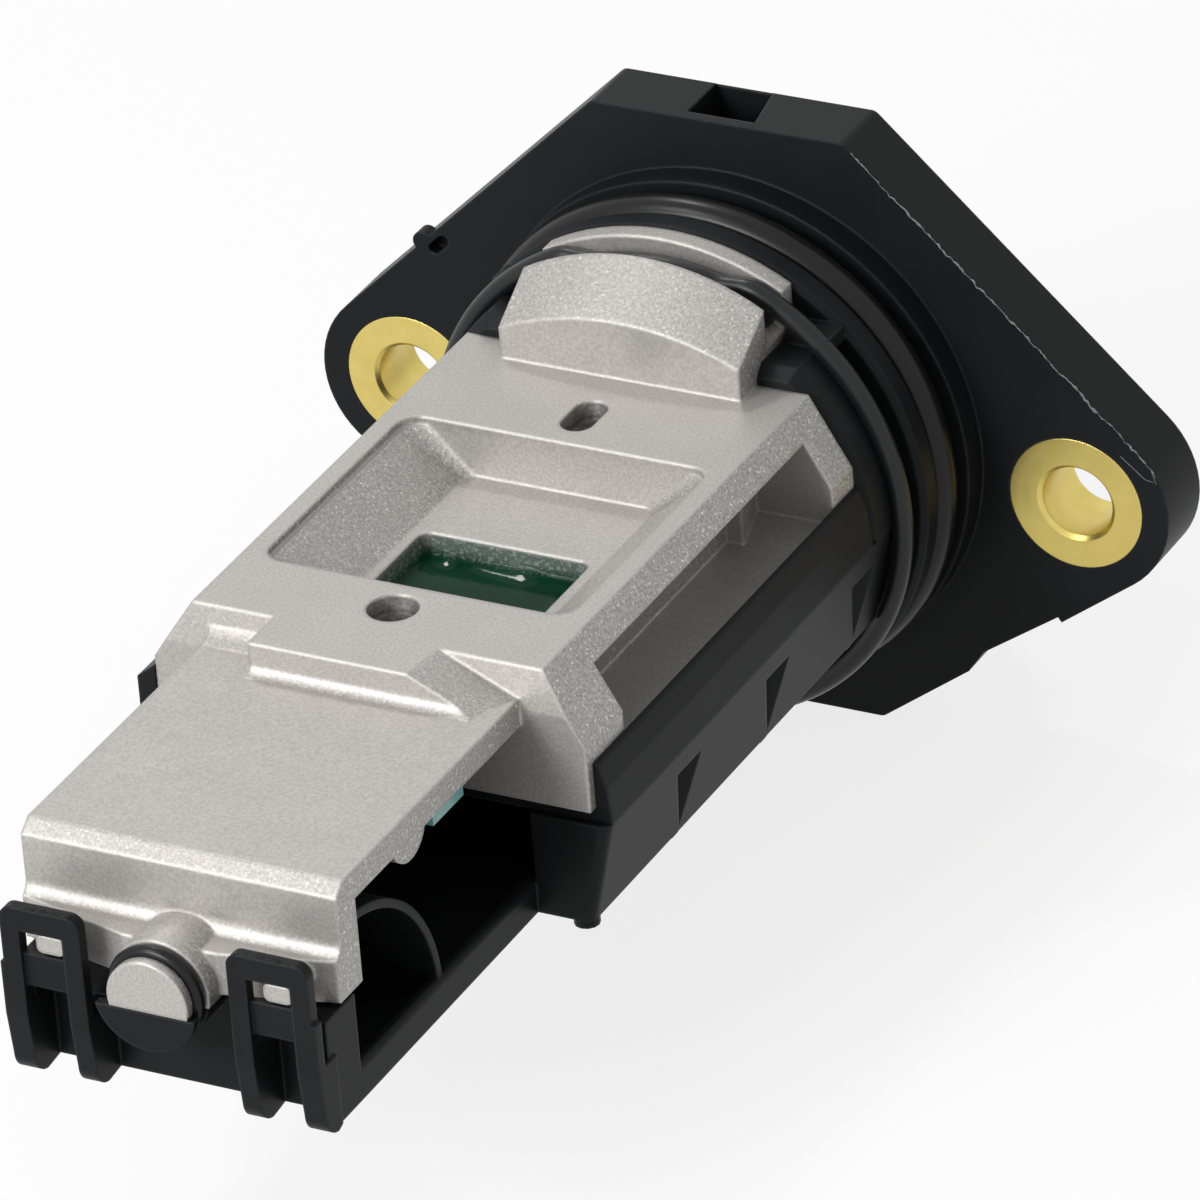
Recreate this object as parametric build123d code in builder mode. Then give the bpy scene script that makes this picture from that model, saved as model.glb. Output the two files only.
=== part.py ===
from build123d import *
import math
import os

os.makedirs("parts", exist_ok=True)

# All sizes in millimetres. X runs along the two screw bushes, Y along the probe towards the connector,
# Z up out of the plate's face. The origin is the spigot axis on the flange's seating face.

# clearances and fits
slip = 0.05
soft_gap = 0.1

# flange
flange_t = 5.6
bush_spacing = 52.0
bush_drop = 2.3
bush_r = 5.0
bush_bore_r = 2.65
bush_bevel = 0.3
flange_end_r = 7.0
flange_top_z = 22.8
flange_top_half = 9.7
flange_bottom_z = -22.6
flange_bottom_half = 10.0
flange_edge = 0.35
flange_corner_r = 0.8
relief_start = 8.6
relief_slope = 2.05
relief_end = 17.8
relief_depth = 0.7
relief_mouth = 0.45
burr_along = 19.85
burr_r = 0.75
burr_l = 1.2
pit_along = 18.9
pit_depth = 0.9
pit_l = 1.9
pit_w = 0.9
tool_notch_half = 2.6
tool_notch_depth = 4.0
tool_notch_front = 0.8
tool_notch_back = flange_t - 0.3
tool_notch_taper = 0.8

# spigot
spigot_r = 18.4
collar_step = 0.6
collar_r = spigot_r + collar_step
collar_y = -2.2
groove_depth = 2.4
groove_r = spigot_r - groove_depth
groove_front = -5.9
rear_disc_front = -7.8
rear_disc_bevel = 0.4
slot_depth = 3.6
slot_core_r = spigot_r - slot_depth
front_disc_back = -8.9
front_disc_front = -9.9
bead_y = -10.0
bead_r = 0.7
bead_sides = 8
nose_step = 1.2
nose_r = spigot_r - nose_step
nose_front = -13.8
nose_top_z = 12.4
nose_bevel = 0.8
spoke_inner = 9.6
spoke_outer = 13.0
spoke_bottom = 12.2
spoke_top = 13.3
strap_drop = 1.0
strap_r = spigot_r - bead_r - strap_drop
strap_section_r = 0.75
strap_left_deg = 26.0
strap_right_deg = 30.0

# main seal
seal_cord_r = 1.4
seal_sides = 10
seal_y = -4.1

# die-cast base plate
plate_top_z = 11.0
plate_top_half = 13.1
plate_side_half = 16.1
plate_side_z = 5.9
plate_bottom_z = 1.0
plate_near = -53.2
skirt_near = -53.75
skirt_top_z = 7.9
corner_fillet_out = 1.0
corner_fillet_up = 1.2
left_side_z = 6.5
plate_far = nose_front
recess_top_half = 11.65
recess_rim = 0.6
recess_ledge = 0.3
recess_corner_r = 1.6
recess_far_draft = 0.2
recess_floor_corner_r = 0.9
recess_floor_half = 7.2
recess_floor_z = 7.15
recess_near = -46.5
recess_near_floor = -43.6
recess_far = -25.5
window_half = 6.45
window_corner_r = 0.9
window_near = -42.5
window_far = -33.6
cavity_half = 8.6
cavity_near = -51.7
cavity_far = -19.0
cavity_top = 6.0
ledge_half = 7.6
pocket_wall_x = 10.2
pocket_floor_z = 3.1
pocket_ceiling_z = 9.1
pocket_near = -48.4
pocket_far = -17.0
pocket_w = 8.0
web_front = -21.6
web_reach = 1.3
dowel_hole_r = 1.8
dowel_hole_y = -49.45
dowel_depth = 1.5
dowel_slot_l = 4.4
dowel_slot_w = 2.4
dowel_slot_y = -21.7

# block, neck and tongue at the flange end of the plate
block_half = 9.2
block_front = -16.3
block_back = -12.1
neck_r = strap_r - strap_section_r - soft_gap
tongue_front = -9.3
tongue_back = -7.9

# roof, fold and pin at the tip
roof_half = 11.4
roof_left = -11.8
roof_top = 8.7
roof_t = 2.0
fold_front = -79.1
fold_back = -76.8
fold_bottom = 0.5
fold_bevel_y = 1.05
fold_bevel_z = 0.8
lip_front = -79.7
lip_top = 3.6
lip_fillet = 1.3
gusset_front = -81.6
gusset_half = 3.4
step_near = -56.85
step_left = -6.95
step_right = 5.3
step_right_near = 4.9
ramp_foot_near = 9.7
step_foot = 0.6
step_rise = 1.1
pin_z = 1.0
pin_r = 2.95
pin_end = -84.8
pin_groove_r = 2.45
pin_groove_front = -84.05
pin_groove_back = -82.95
boss_r = 3.55
pin_split_z = 0.2
lower_pin_x = -0.25
lower_pin_r = 3.75
lug_width = 2.05
left_lug_x = -7.87
right_lug_x = 8.83
lug_bottom = 1.95
lug_top = 3.3
lug_front = -83.2
tab_r = 2.3
tab_y = -69.0
tab_z = 7.4
tab_inner = 8.5
tab_outer = 11.2

# pin seal
pin_seal_cord_r = 0.5
pin_seal_r = pin_groove_r + soft_gap / 2 + pin_seal_cord_r
pin_seal_sides = 8

# housing rails and floor
rail_near = -53.0
parting_z = -0.1
rail_top_z = 4.4
rail_t = 1.15
rail_outer = plate_side_half + slip + rail_t
rail_bevel_x = 0.5
rail_bevel_z = 0.15
rail_waist_x = 0.25
rail_waist_z = 2.6
left_rail_near = -53.8
left_rail_top = 5.8
left_rail_proud = 0.3
left_rail_bevel = 1.15
floor_top = plate_bottom_z - slip

# channel cover
cover_top = parting_z - slip
cover_bottom = -7.75
cover_inset = 0.1
cover_draft = 1.75
cover_half_top = rail_outer - cover_inset
cover_half_bottom = cover_half_top - cover_draft
cover_corner_r = 0.8
foot_r = 0.9
foot_sides = 12
foot_drop = 0.6
notch_pitch = 13.3
notch_count = 3
notch_first = -40.8
notch_ahead = 2.0
notch_behind = 1.6
notch_top = -2.1
notch_depth = 2.9
notch_run_out = 0.4
nub_drop = 0.2
nub_l = 1.0
cover_near = -53.5
cover_far = bead_y - bead_r - slip
cover_floor_t = 1.4
shell_t = 2.05
channel_half = cover_half_bottom - shell_t
channel_near = -52.1
channel_far = -12.0
trough_wall = 1.2
trough_wall_top = -5.2
trough_wall_round = 0.5
trough_end = -80.1
end_wall_in = -78.0
end_wall_top = 0.1
side_block_top = 0.25
guide_r = 11.85
guide_t = 0.6
guide_y = -78.0
outlet_half = 7.0
outlet_near = -34.0
outlet_far = -27.0
clip_inner = 5.4
clip_outer = 11.3
clip_leg = 1.35
clip_front = -83.55
clip_back = -82.65
clip_top = 5.2
clip_window_top = 3.5
clip_bar_top = 1.65
clip_bar_bottom = -0.8
clip_bar_back = 0.4
clip_root_top = -2.5
clip_curve_top = -3.0
clip_knee_y = -83.15
clip_knee_z = -6.3
clip_toe_y = -81.65
clip_toe_z = -7.95
clip_jog = 0.25
clip_jog_top = 0.9
side_block_front = -81.95

# board and electronics
board_half = 8.2
board_near = -51.2
board_far = -19.5
board_top = 5.4
board_t = 0.8
gel_top = 6.1
gel_gap = 0.3
chip_size = 6.5
chip_h = 1.2
cap_l = 2.0
cap_w = 1.25
cap_inset = 3.2
cap_setback = 5.5
cap_h = 1.1
strip_near = -65.8
strip_far = -61.6
strip_t = 0.9
strip_left = -6.0

# connector behind the flange
socket_x = -3.0
body_half = 9.5
body_top_z = 5.0
body_bottom_z = -14.0
body_back = 18.0
shroud_corner_r = 1.6
shroud_half = 9.0
shroud_front = 7.0
shroud_back = 17.6
shroud_mouth_z = -21.9
shroud_wall = 1.4
shroud_floor_z = -8.5
blade_pitch = 2.3
blade_w = 0.8
blade_t = 0.6
blade_y = 12.3
blade_tip_z = -17.0
blade_count = 5


def at_y(y):
    """The XZ plane moved to a given y; extruding from it runs towards the tip."""
    return Plane.XZ.offset(-y)


def turned_plane(degrees):
    """A plane through the spigot axis, turned from upright towards +X."""
    turn = math.radians(degrees)
    return Plane(origin=(0, 0, 0), x_dir=(0, 1, 0), z_dir=(math.cos(turn), 0, -math.sin(turn)))


def flange_edge_plane(corner, centre):
    """Plane on the seating face with x along the edge from a flat's corner to a bush boss, y outwards."""
    run = Vector(centre[0] - corner[0], 0, centre[1] - corner[1])
    lean = math.degrees(math.asin(flange_end_r / run.length))
    return Plane(
        origin=(corner[0], 0, corner[1]),
        x_dir=run.rotate(Axis.Y, lean),
        z_dir=(0, 1, 0),
    )


def arc_height(radius, x):
    """Height of a circle about the spigot axis at a distance x from it."""
    return math.sqrt(radius ** 2 - x ** 2)


# housing: flange, spigot, rails and connector in one moulding
with BuildPart() as housing:
    # flange outline between the two bush bosses and the flats
    with BuildSketch(at_y(flange_t)) as flange_outline:
        with Locations((bush_spacing / 2, -bush_drop), (-bush_spacing / 2, -bush_drop)):
            Circle(flange_end_r)
        with BuildLine():
            Line((-flange_top_half, flange_top_z), (flange_top_half, flange_top_z))
            Line((flange_bottom_half, flange_bottom_z), (-flange_bottom_half, flange_bottom_z))
        make_hull()
    extrude(amount=flange_t)
    corners = housing.edges().filter_by(Axis.Y).filter_by_position(Axis.X, -12, 12)
    fillet(corners, radius=flange_corner_r)
    back_rim = housing.faces().sort_by(Axis.Y)[-1].edges()
    chamfer(back_rim, length=flange_edge)
    # collar round the root of the spigot
    with BuildSketch(at_y(0)):
        Circle(collar_r)
    extrude(amount=-collar_y)
    # seal groove, discs and slot, turned about the spigot axis
    with BuildSketch(Plane.YZ):
        with BuildLine():
            Polyline(
                (collar_y, 0),
                (collar_y, groove_r),
                (groove_front, groove_r),
                (groove_front, spigot_r),
                (rear_disc_front + rear_disc_bevel, spigot_r),
                (rear_disc_front, spigot_r - rear_disc_bevel),
                (rear_disc_front, slot_core_r),
                (front_disc_back, slot_core_r),
                (front_disc_back, spigot_r - bead_r),
                (front_disc_front, spigot_r - bead_r),
                (front_disc_front, 0),
                close=True,
            )
        make_face()
    revolve(axis=Axis.Y)
    # nose behind the plate, upper half only
    with BuildSketch(at_y(front_disc_front)):
        with BuildLine():
            Line((-nose_r, parting_z), (nose_r, parting_z))
            ThreePointArc((nose_r, parting_z), (0, nose_r), (-nose_r, parting_z))
        make_face()
        with Locations((0, nose_top_z + nose_r / 2)):
            Rectangle(2 * nose_r, nose_r, mode=Mode.SUBTRACT)
    extrude(amount=front_disc_front - nose_front)
    nose_edges = (
        housing.edges()
        .filter_by_position(Axis.Y, nose_front - slip, nose_front + slip)
        .filter_by_position(Axis.Z, parting_z + slip, spigot_r)
    )
    chamfer(nose_edges, length=nose_bevel)
    # the disc's upper segment is open behind the bead
    with BuildSketch(at_y(rear_disc_front)):
        with Locations((0, nose_top_z + spigot_r / 2)):
            Rectangle(2 * spigot_r, spigot_r)
    extrude(amount=rear_disc_front - front_disc_front + slip, mode=Mode.SUBTRACT)
    # two webs tie the bead to the rear disc
    with BuildSketch(at_y(rear_disc_front)):
        for side in (-1, 1):
            with Locations((side * (spoke_inner + spoke_outer) / 2, (spoke_bottom + spoke_top) / 2)):
                Rectangle(spoke_outer - spoke_inner, spoke_top - spoke_bottom)
    extrude(amount=rear_disc_front - bead_y)
    # floor and side rails of the probe
    with BuildSketch(at_y(nose_front)):
        with BuildLine():
            Polyline(
                (-rail_outer, parting_z),
                (rail_outer, parting_z),
                (rail_outer - rail_waist_x, rail_waist_z),
                (rail_outer - rail_waist_x - rail_bevel_x, rail_top_z - rail_bevel_z),
                (plate_side_half + slip, rail_top_z),
                (plate_side_half + slip, floor_top),
                (-plate_side_half - slip, floor_top),
                (-plate_side_half - slip, rail_top_z),
                (-rail_outer + rail_waist_x + rail_bevel_x, rail_top_z - rail_bevel_z),
                (-rail_outer + rail_waist_x, rail_waist_z),
                close=True,
            )
        make_face()
    extrude(amount=nose_front - rail_near)
    # left rail stands a little higher and further forward
    with BuildSketch(at_y(nose_front)):
        Polygon(
            (-plate_side_half - slip, floor_top),
            (-plate_side_half - slip, left_rail_top),
            (-rail_outer - left_rail_proud, left_rail_top - left_rail_bevel),
            (-rail_outer - left_rail_proud, parting_z),
            (-plate_side_half - slip, parting_z),
            align=None,
        )
    extrude(amount=nose_front - left_rail_near)
    # seat of the casting's block, neck and tongue
    with BuildSketch(at_y(tongue_back + slip)):
        with Locations((0, cavity_top + slip + spigot_r / 2)):
            Rectangle(2 * (block_half + slip), spigot_r)
    extrude(amount=tongue_back - nose_front + 2 * slip, mode=Mode.SUBTRACT)
    # bead round the front of the spigot, lower where it straps the casting's neck
    with BuildSketch(turned_plane(strap_right_deg - 2)):
        with Locations((bead_y, spigot_r - bead_r)):
            RegularPolygon(bead_r, bead_sides)
    revolve(axis=Axis.Y, revolution_arc=364 - strap_right_deg - strap_left_deg)
    with BuildSketch(turned_plane(-strap_left_deg - 2)):
        with Locations((bead_y - 0.1, strap_r)):
            RegularPolygon(strap_section_r, bead_sides)
    revolve(axis=Axis.Y, revolution_arc=strap_left_deg + strap_right_deg + 4)
    # body of the connector behind the flange
    with BuildSketch(at_y(body_back)):
        with Locations((socket_x, (body_top_z + body_bottom_z) / 2)):
            Rectangle(2 * body_half, body_top_z - body_bottom_z)
    extrude(amount=body_back - flange_t)
    # connector shroud facing down
    with BuildSketch(Plane.XY.offset(shroud_mouth_z)):
        with Locations((socket_x, (shroud_front + shroud_back) / 2)):
            RectangleRounded(2 * shroud_half, shroud_back - shroud_front, shroud_corner_r)
    extrude(amount=body_bottom_z - shroud_mouth_z)
    with BuildSketch(Plane.XY.offset(shroud_mouth_z)):
        with Locations((socket_x, (shroud_front + shroud_back) / 2)):
            RectangleRounded(
                2 * (shroud_half - shroud_wall),
                shroud_back - shroud_front - 2 * shroud_wall,
                0.8,
            )
    extrude(amount=shroud_floor_z - shroud_mouth_z, mode=Mode.SUBTRACT)
    # passage for the leads between connector and board
    with BuildSketch(at_y(blade_y + blade_t / 2 + slip)):
        with Locations((socket_x, board_top - board_t - blade_t / 2)):
            Rectangle(blade_pitch * (blade_count - 1) + blade_w + 0.4, blade_t + 0.4)
    extrude(amount=blade_y + blade_t / 2 + slip - nose_front + 1, mode=Mode.SUBTRACT)
    with BuildSketch(Plane.XY.offset(shroud_floor_z - 1)):
        with Locations((socket_x, blade_y)):
            Rectangle(blade_pitch * (blade_count - 1) + blade_w + 2 * slip, blade_t + 2 * slip)
    extrude(amount=board_top - board_t - shroud_floor_z + 1, mode=Mode.SUBTRACT)
    # bush seats
    with BuildSketch(at_y(flange_t)):
        with Locations((bush_spacing / 2, -bush_drop), (-bush_spacing / 2, -bush_drop)):
            Circle(bush_r + 0.02)
    extrude(amount=flange_t, mode=Mode.SUBTRACT)
    # relief along the flange's lower right edge
    lower_edge = flange_edge_plane((flange_bottom_half, flange_bottom_z), (bush_spacing / 2, -bush_drop))
    with BuildSketch(lower_edge):
        Polygon(
            (relief_start, relief_depth),
            (relief_start, 0),
            (relief_start + relief_slope, -relief_depth),
            (relief_end, -relief_mouth),
            (relief_end, relief_depth),
            align=None,
        )
    extrude(amount=flange_t, mode=Mode.SUBTRACT)
    # burr and pit on the upper left edge
    upper_edge = flange_edge_plane((-flange_top_half, flange_top_z), (-bush_spacing / 2, -bush_drop))
    with BuildSketch(upper_edge):
        with Locations((burr_along, 0)):
            Circle(burr_r)
    extrude(amount=burr_l)
    with BuildSketch(upper_edge):
        with Locations((pit_along, -pit_depth)):
            SlotOverall(pit_l, pit_w)
    extrude(amount=burr_l, mode=Mode.SUBTRACT)
    # tool notch in the flange's top flat
    with BuildSketch(Plane.XY.offset(flange_top_z)):
        Polygon(
            (-tool_notch_half, tool_notch_front),
            (tool_notch_half, tool_notch_front),
            (tool_notch_half - tool_notch_taper, tool_notch_back),
            (-tool_notch_half, tool_notch_back),
            align=None,
        )
    extrude(amount=-tool_notch_depth, mode=Mode.SUBTRACT)
housing.part.label = "housing"
export_step(housing.part, "parts/housing.step")

# base plate: die-cast plate, block, tongue, roof, fold and pin half
with BuildPart() as base_plate:
    with BuildSketch(at_y(plate_far)):
        Polygon(
            (-plate_top_half, plate_top_z),
            (plate_top_half, plate_top_z),
            (plate_side_half, plate_side_z),
            (plate_side_half, plate_bottom_z),
            (-plate_side_half, plate_bottom_z),
            (-plate_side_half, left_side_z),
            align=None,
        )
    extrude(amount=plate_far - skirt_near)
    # the front face leans back above the skirt
    with BuildSketch(Plane.YZ.offset(-plate_side_half)):
        Polygon(
            (skirt_near, skirt_top_z),
            (plate_near, plate_top_z),
            (plate_near, 2 * plate_top_z),
            (2 * skirt_near, 2 * plate_top_z),
            (2 * skirt_near, skirt_top_z),
            align=None,
        )
    extrude(amount=2 * plate_side_half, mode=Mode.SUBTRACT)
    # extension in front of the plate, ramped down on the right
    with BuildSketch(at_y(plate_near)):
        Polygon(
            (step_left, roof_top - roof_t / 2),
            (step_left, plate_top_z),
            (step_right, plate_top_z),
            (roof_half, roof_top),
            (roof_half, roof_top - roof_t / 2),
            align=None,
        )
    with BuildSketch(at_y(step_near)):
        Polygon(
            (step_left, roof_top - roof_t / 2),
            (step_left, plate_top_z),
            (step_right_near, plate_top_z),
            (ramp_foot_near, roof_top),
            (roof_half, roof_top - roof_t / 2),
            align=None,
        )
    loft(ruled=True)
    # concave fillet at the foot of the step, running out with the ramp
    with BuildSketch(Plane.YZ.offset(step_left)):
        with BuildLine():
            Line((step_near, roof_top - roof_t / 2), (step_near, roof_top + step_rise))
            ThreePointArc(
                (step_near, roof_top + step_rise),
                (step_near - 0.25 * step_foot, roof_top + 0.3 * step_rise),
                (step_near - step_foot, roof_top),
            )
            Polyline(
                (step_near - step_foot, roof_top),
                (step_near - step_foot, roof_top - roof_t / 2),
                (step_near, roof_top - roof_t / 2),
            )
        make_face()
    extrude(amount=ramp_foot_near - step_left)
    with BuildSketch(at_y(step_near)):
        Polygon(
            (step_right_near, plate_top_z),
            (ramp_foot_near, roof_top),
            (roof_half, roof_top),
            (roof_half, plate_top_z),
            align=None,
        )
    extrude(amount=2 * step_foot, mode=Mode.SUBTRACT)
    # concave fillet left of the step
    with BuildSketch(Plane.YZ.offset(roof_left)):
        with BuildLine():
            Line((plate_near, roof_top - roof_t / 2), (plate_near, roof_top + corner_fillet_up))
            ThreePointArc(
                (plate_near, roof_top + corner_fillet_up),
                (skirt_near - 0.2 * corner_fillet_out, roof_top + 0.35 * corner_fillet_up),
                (skirt_near - corner_fillet_out, roof_top),
            )
            Polyline(
                (skirt_near - corner_fillet_out, roof_top),
                (skirt_near - corner_fillet_out, roof_top - roof_t / 2),
                (plate_near, roof_top - roof_t / 2),
            )
        make_face()
    extrude(amount=step_left - roof_left)
    # roof over the measuring channel and fold at the tip
    with BuildSketch(Plane.YZ.offset(roof_left)):
        with BuildLine():
            Polyline(
                (plate_near, roof_top),
                (fold_front + fold_bevel_y, roof_top),
                (fold_front, roof_top - fold_bevel_z),
                (fold_front, lip_top + lip_fillet),
            )
            ThreePointArc(
                (fold_front, lip_top + lip_fillet),
                (fold_front - 0.12, lip_top + 0.5),
                (lip_front, lip_top),
            )
            Polyline(
                (lip_front, lip_top),
                (lip_front, fold_bottom),
                (fold_back, fold_bottom),
                (fold_back, roof_top - roof_t),
                (plate_near, roof_top - roof_t),
                (plate_near, roof_top),
            )
        make_face()
    extrude(amount=roof_half - roof_left)
    # gussets from the fold's ends to the pin's boss
    with BuildSketch(Plane.XY.offset(fold_bottom)):
        Polygon(
            (-roof_half, lip_front + 0.2),
            (-roof_half, lip_front - 0.05),
            (-gusset_half, gusset_front),
            (gusset_half, gusset_front),
            (roof_half, lip_front - 0.05),
            (roof_half, lip_front + 0.2),
            align=None,
        )
    extrude(amount=lip_top - fold_bottom)
    # rounded tab under the roof's right edge
    with BuildSketch(Plane.YZ.offset(tab_inner)):
        with Locations((tab_y, tab_z)):
            Circle(tab_r)
        with Locations((tab_y, roof_top)):
            Rectangle(4 * tab_r, 2 * roof_t - 0.2, mode=Mode.SUBTRACT)
    extrude(amount=tab_outer - tab_inner)
    # block whose top rises to the spigot's circle
    with BuildSketch(at_y(block_front)):
        with BuildLine():
            Polyline(
                (-block_half, plate_top_z + 2.4),
                (-block_half, plate_top_z - 2),
                (block_half, plate_top_z - 2),
                (block_half, plate_top_z + 2.4),
            )
            ThreePointArc(
                (block_half, plate_top_z + 2.4),
                (0, plate_top_z + 4.4),
                (-block_half, plate_top_z + 2.4),
            )
        make_face()
    with BuildSketch(at_y(block_back)):
        with BuildLine():
            Polyline(
                (-block_half, arc_height(spigot_r, block_half)),
                (-block_half, plate_top_z - 2),
                (block_half, plate_top_z - 2),
                (block_half, arc_height(spigot_r, block_half)),
            )
            ThreePointArc(
                (block_half, arc_height(spigot_r, block_half)),
                (0, spigot_r),
                (-block_half, arc_height(spigot_r, block_half)),
            )
        make_face()
    loft()
    # neck under the bead and tongue behind it
    with BuildSketch(at_y(tongue_back)):
        with Locations((0, cavity_top + 2 * slip + spigot_r / 2)):
            Rectangle(2 * block_half, spigot_r)
        Circle(neck_r, mode=Mode.INTERSECT)
    extrude(amount=tongue_back - block_back)
    with BuildSketch(at_y(tongue_back)):
        with Locations((0, cavity_top + 2 * slip + spigot_r / 2)):
            Rectangle(2 * block_half, spigot_r)
        Circle(spigot_r, mode=Mode.INTERSECT)
    extrude(amount=tongue_back - tongue_front)
    # recess in the plate's top: a low rim, then drafted walls
    with BuildSketch(Plane.XY.offset(plate_top_z)):
        with Locations((0, (recess_near + recess_far) / 2)):
            RectangleRounded(2 * recess_top_half, recess_far - recess_near, recess_corner_r)
    extrude(amount=-recess_rim, mode=Mode.SUBTRACT)
    with BuildSketch(Plane.XY.offset(plate_top_z - recess_rim)):
        with Locations((0, (recess_near + recess_far) / 2)):
            RectangleRounded(
                2 * (recess_top_half - recess_ledge),
                recess_far - recess_near,
                recess_corner_r,
            )
    with BuildSketch(Plane.XY.offset(recess_floor_z)):
        with Locations((0, (recess_near_floor + recess_far - recess_far_draft) / 2)):
            RectangleRounded(
                2 * recess_floor_half,
                recess_far - recess_far_draft - recess_near_floor,
                recess_floor_corner_r,
            )
    loft(mode=Mode.SUBTRACT)
    # window to the board
    with BuildSketch(Plane.XY.offset(recess_floor_z + 1)):
        with Locations((0, (window_near + window_far) / 2)):
            RectangleRounded(2 * window_half, window_far - window_near, window_corner_r)
    extrude(amount=-3, mode=Mode.SUBTRACT)
    # underside cavity, with ledges the board rests on
    with BuildSketch(Plane.XY.offset(plate_bottom_z)):
        with Locations((0, (cavity_near + cavity_far) / 2)):
            Rectangle(2 * cavity_half, cavity_far - cavity_near)
    extrude(amount=board_top - plate_bottom_z, mode=Mode.SUBTRACT)
    with BuildSketch(Plane.XY.offset(board_top)):
        with Locations((0, (cavity_near + cavity_far) / 2)):
            Rectangle(2 * ledge_half, cavity_far - cavity_near)
    extrude(amount=cavity_top - board_top, mode=Mode.SUBTRACT)
    # way for the leads from the cavity to the flange
    with BuildSketch(at_y(tongue_back + 1)):
        with Locations((socket_x, board_top - board_t - blade_t / 2)):
            Rectangle(blade_pitch * (blade_count - 1) + blade_w + 0.6, blade_t + 0.6)
    extrude(amount=tongue_back + 1 - cavity_far + 1, mode=Mode.SUBTRACT)
    # side pockets under the top skin
    for side in (-1, 1):
        with BuildSketch(Plane.XY.offset(pocket_floor_z)):
            with Locations((side * (pocket_wall_x + pocket_w / 2), (pocket_near + pocket_far) / 2)):
                Rectangle(pocket_w, pocket_far - pocket_near)
        extrude(amount=pocket_ceiling_z - pocket_floor_z, mode=Mode.SUBTRACT)
    # web step inside each pocket
    for side in (-1, 1):
        with BuildSketch(Plane.XY.offset(pocket_floor_z)):
            Polygon(
                (side * (pocket_wall_x - slip), web_front),
                (side * (pocket_wall_x + web_reach), web_front),
                (side * pocket_wall_x, pocket_far),
                (side * (pocket_wall_x - slip), pocket_far),
                align=None,
            )
        extrude(amount=pocket_ceiling_z - pocket_floor_z)
    # dowel hole and slot in the top
    with BuildSketch(Plane.XY.offset(plate_top_z)):
        with Locations((0, dowel_hole_y)):
            Circle(dowel_hole_r)
        with Locations((0, dowel_slot_y)):
            SlotOverall(dowel_slot_l, dowel_slot_w, rotation=90)
    extrude(amount=-dowel_depth, mode=Mode.SUBTRACT)
    # boss, seal groove and upper half of the pin
    with BuildSketch(at_y(lip_front + 0.5)):
        with Locations((0, pin_z)):
            Circle(boss_r)
        with Locations((0, pin_split_z - boss_r)):
            Rectangle(3 * boss_r, 2 * boss_r, mode=Mode.SUBTRACT)
    extrude(amount=lip_front + 0.5 - pin_groove_back)
    with BuildSketch(at_y(pin_groove_back)):
        with Locations((0, pin_z)):
            Circle(pin_groove_r)
        with Locations((0, pin_split_z - boss_r)):
            Rectangle(3 * boss_r, 2 * boss_r, mode=Mode.SUBTRACT)
    extrude(amount=pin_groove_back - pin_groove_front)
    with BuildSketch(at_y(pin_groove_front)):
        with Locations((0, pin_z)):
            Circle(pin_r)
        with Locations((0, pin_split_z - boss_r)):
            Rectangle(3 * boss_r, 2 * boss_r, mode=Mode.SUBTRACT)
    extrude(amount=pin_groove_front - pin_end)
    # lugs the cover's clips snap over
    for lug_x in (left_lug_x, right_lug_x):
        with BuildSketch(Plane.XZ.offset(-lip_front - 0.5)):
            with Locations((lug_x, (lug_bottom + lug_top) / 2)):
                RectangleRounded(lug_width, lug_top - lug_bottom, 0.45)
        extrude(amount=lip_front + 0.5 - lug_front)
base_plate.part.label = "base_plate"
export_step(base_plate.part, "parts/base_plate.step")

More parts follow.
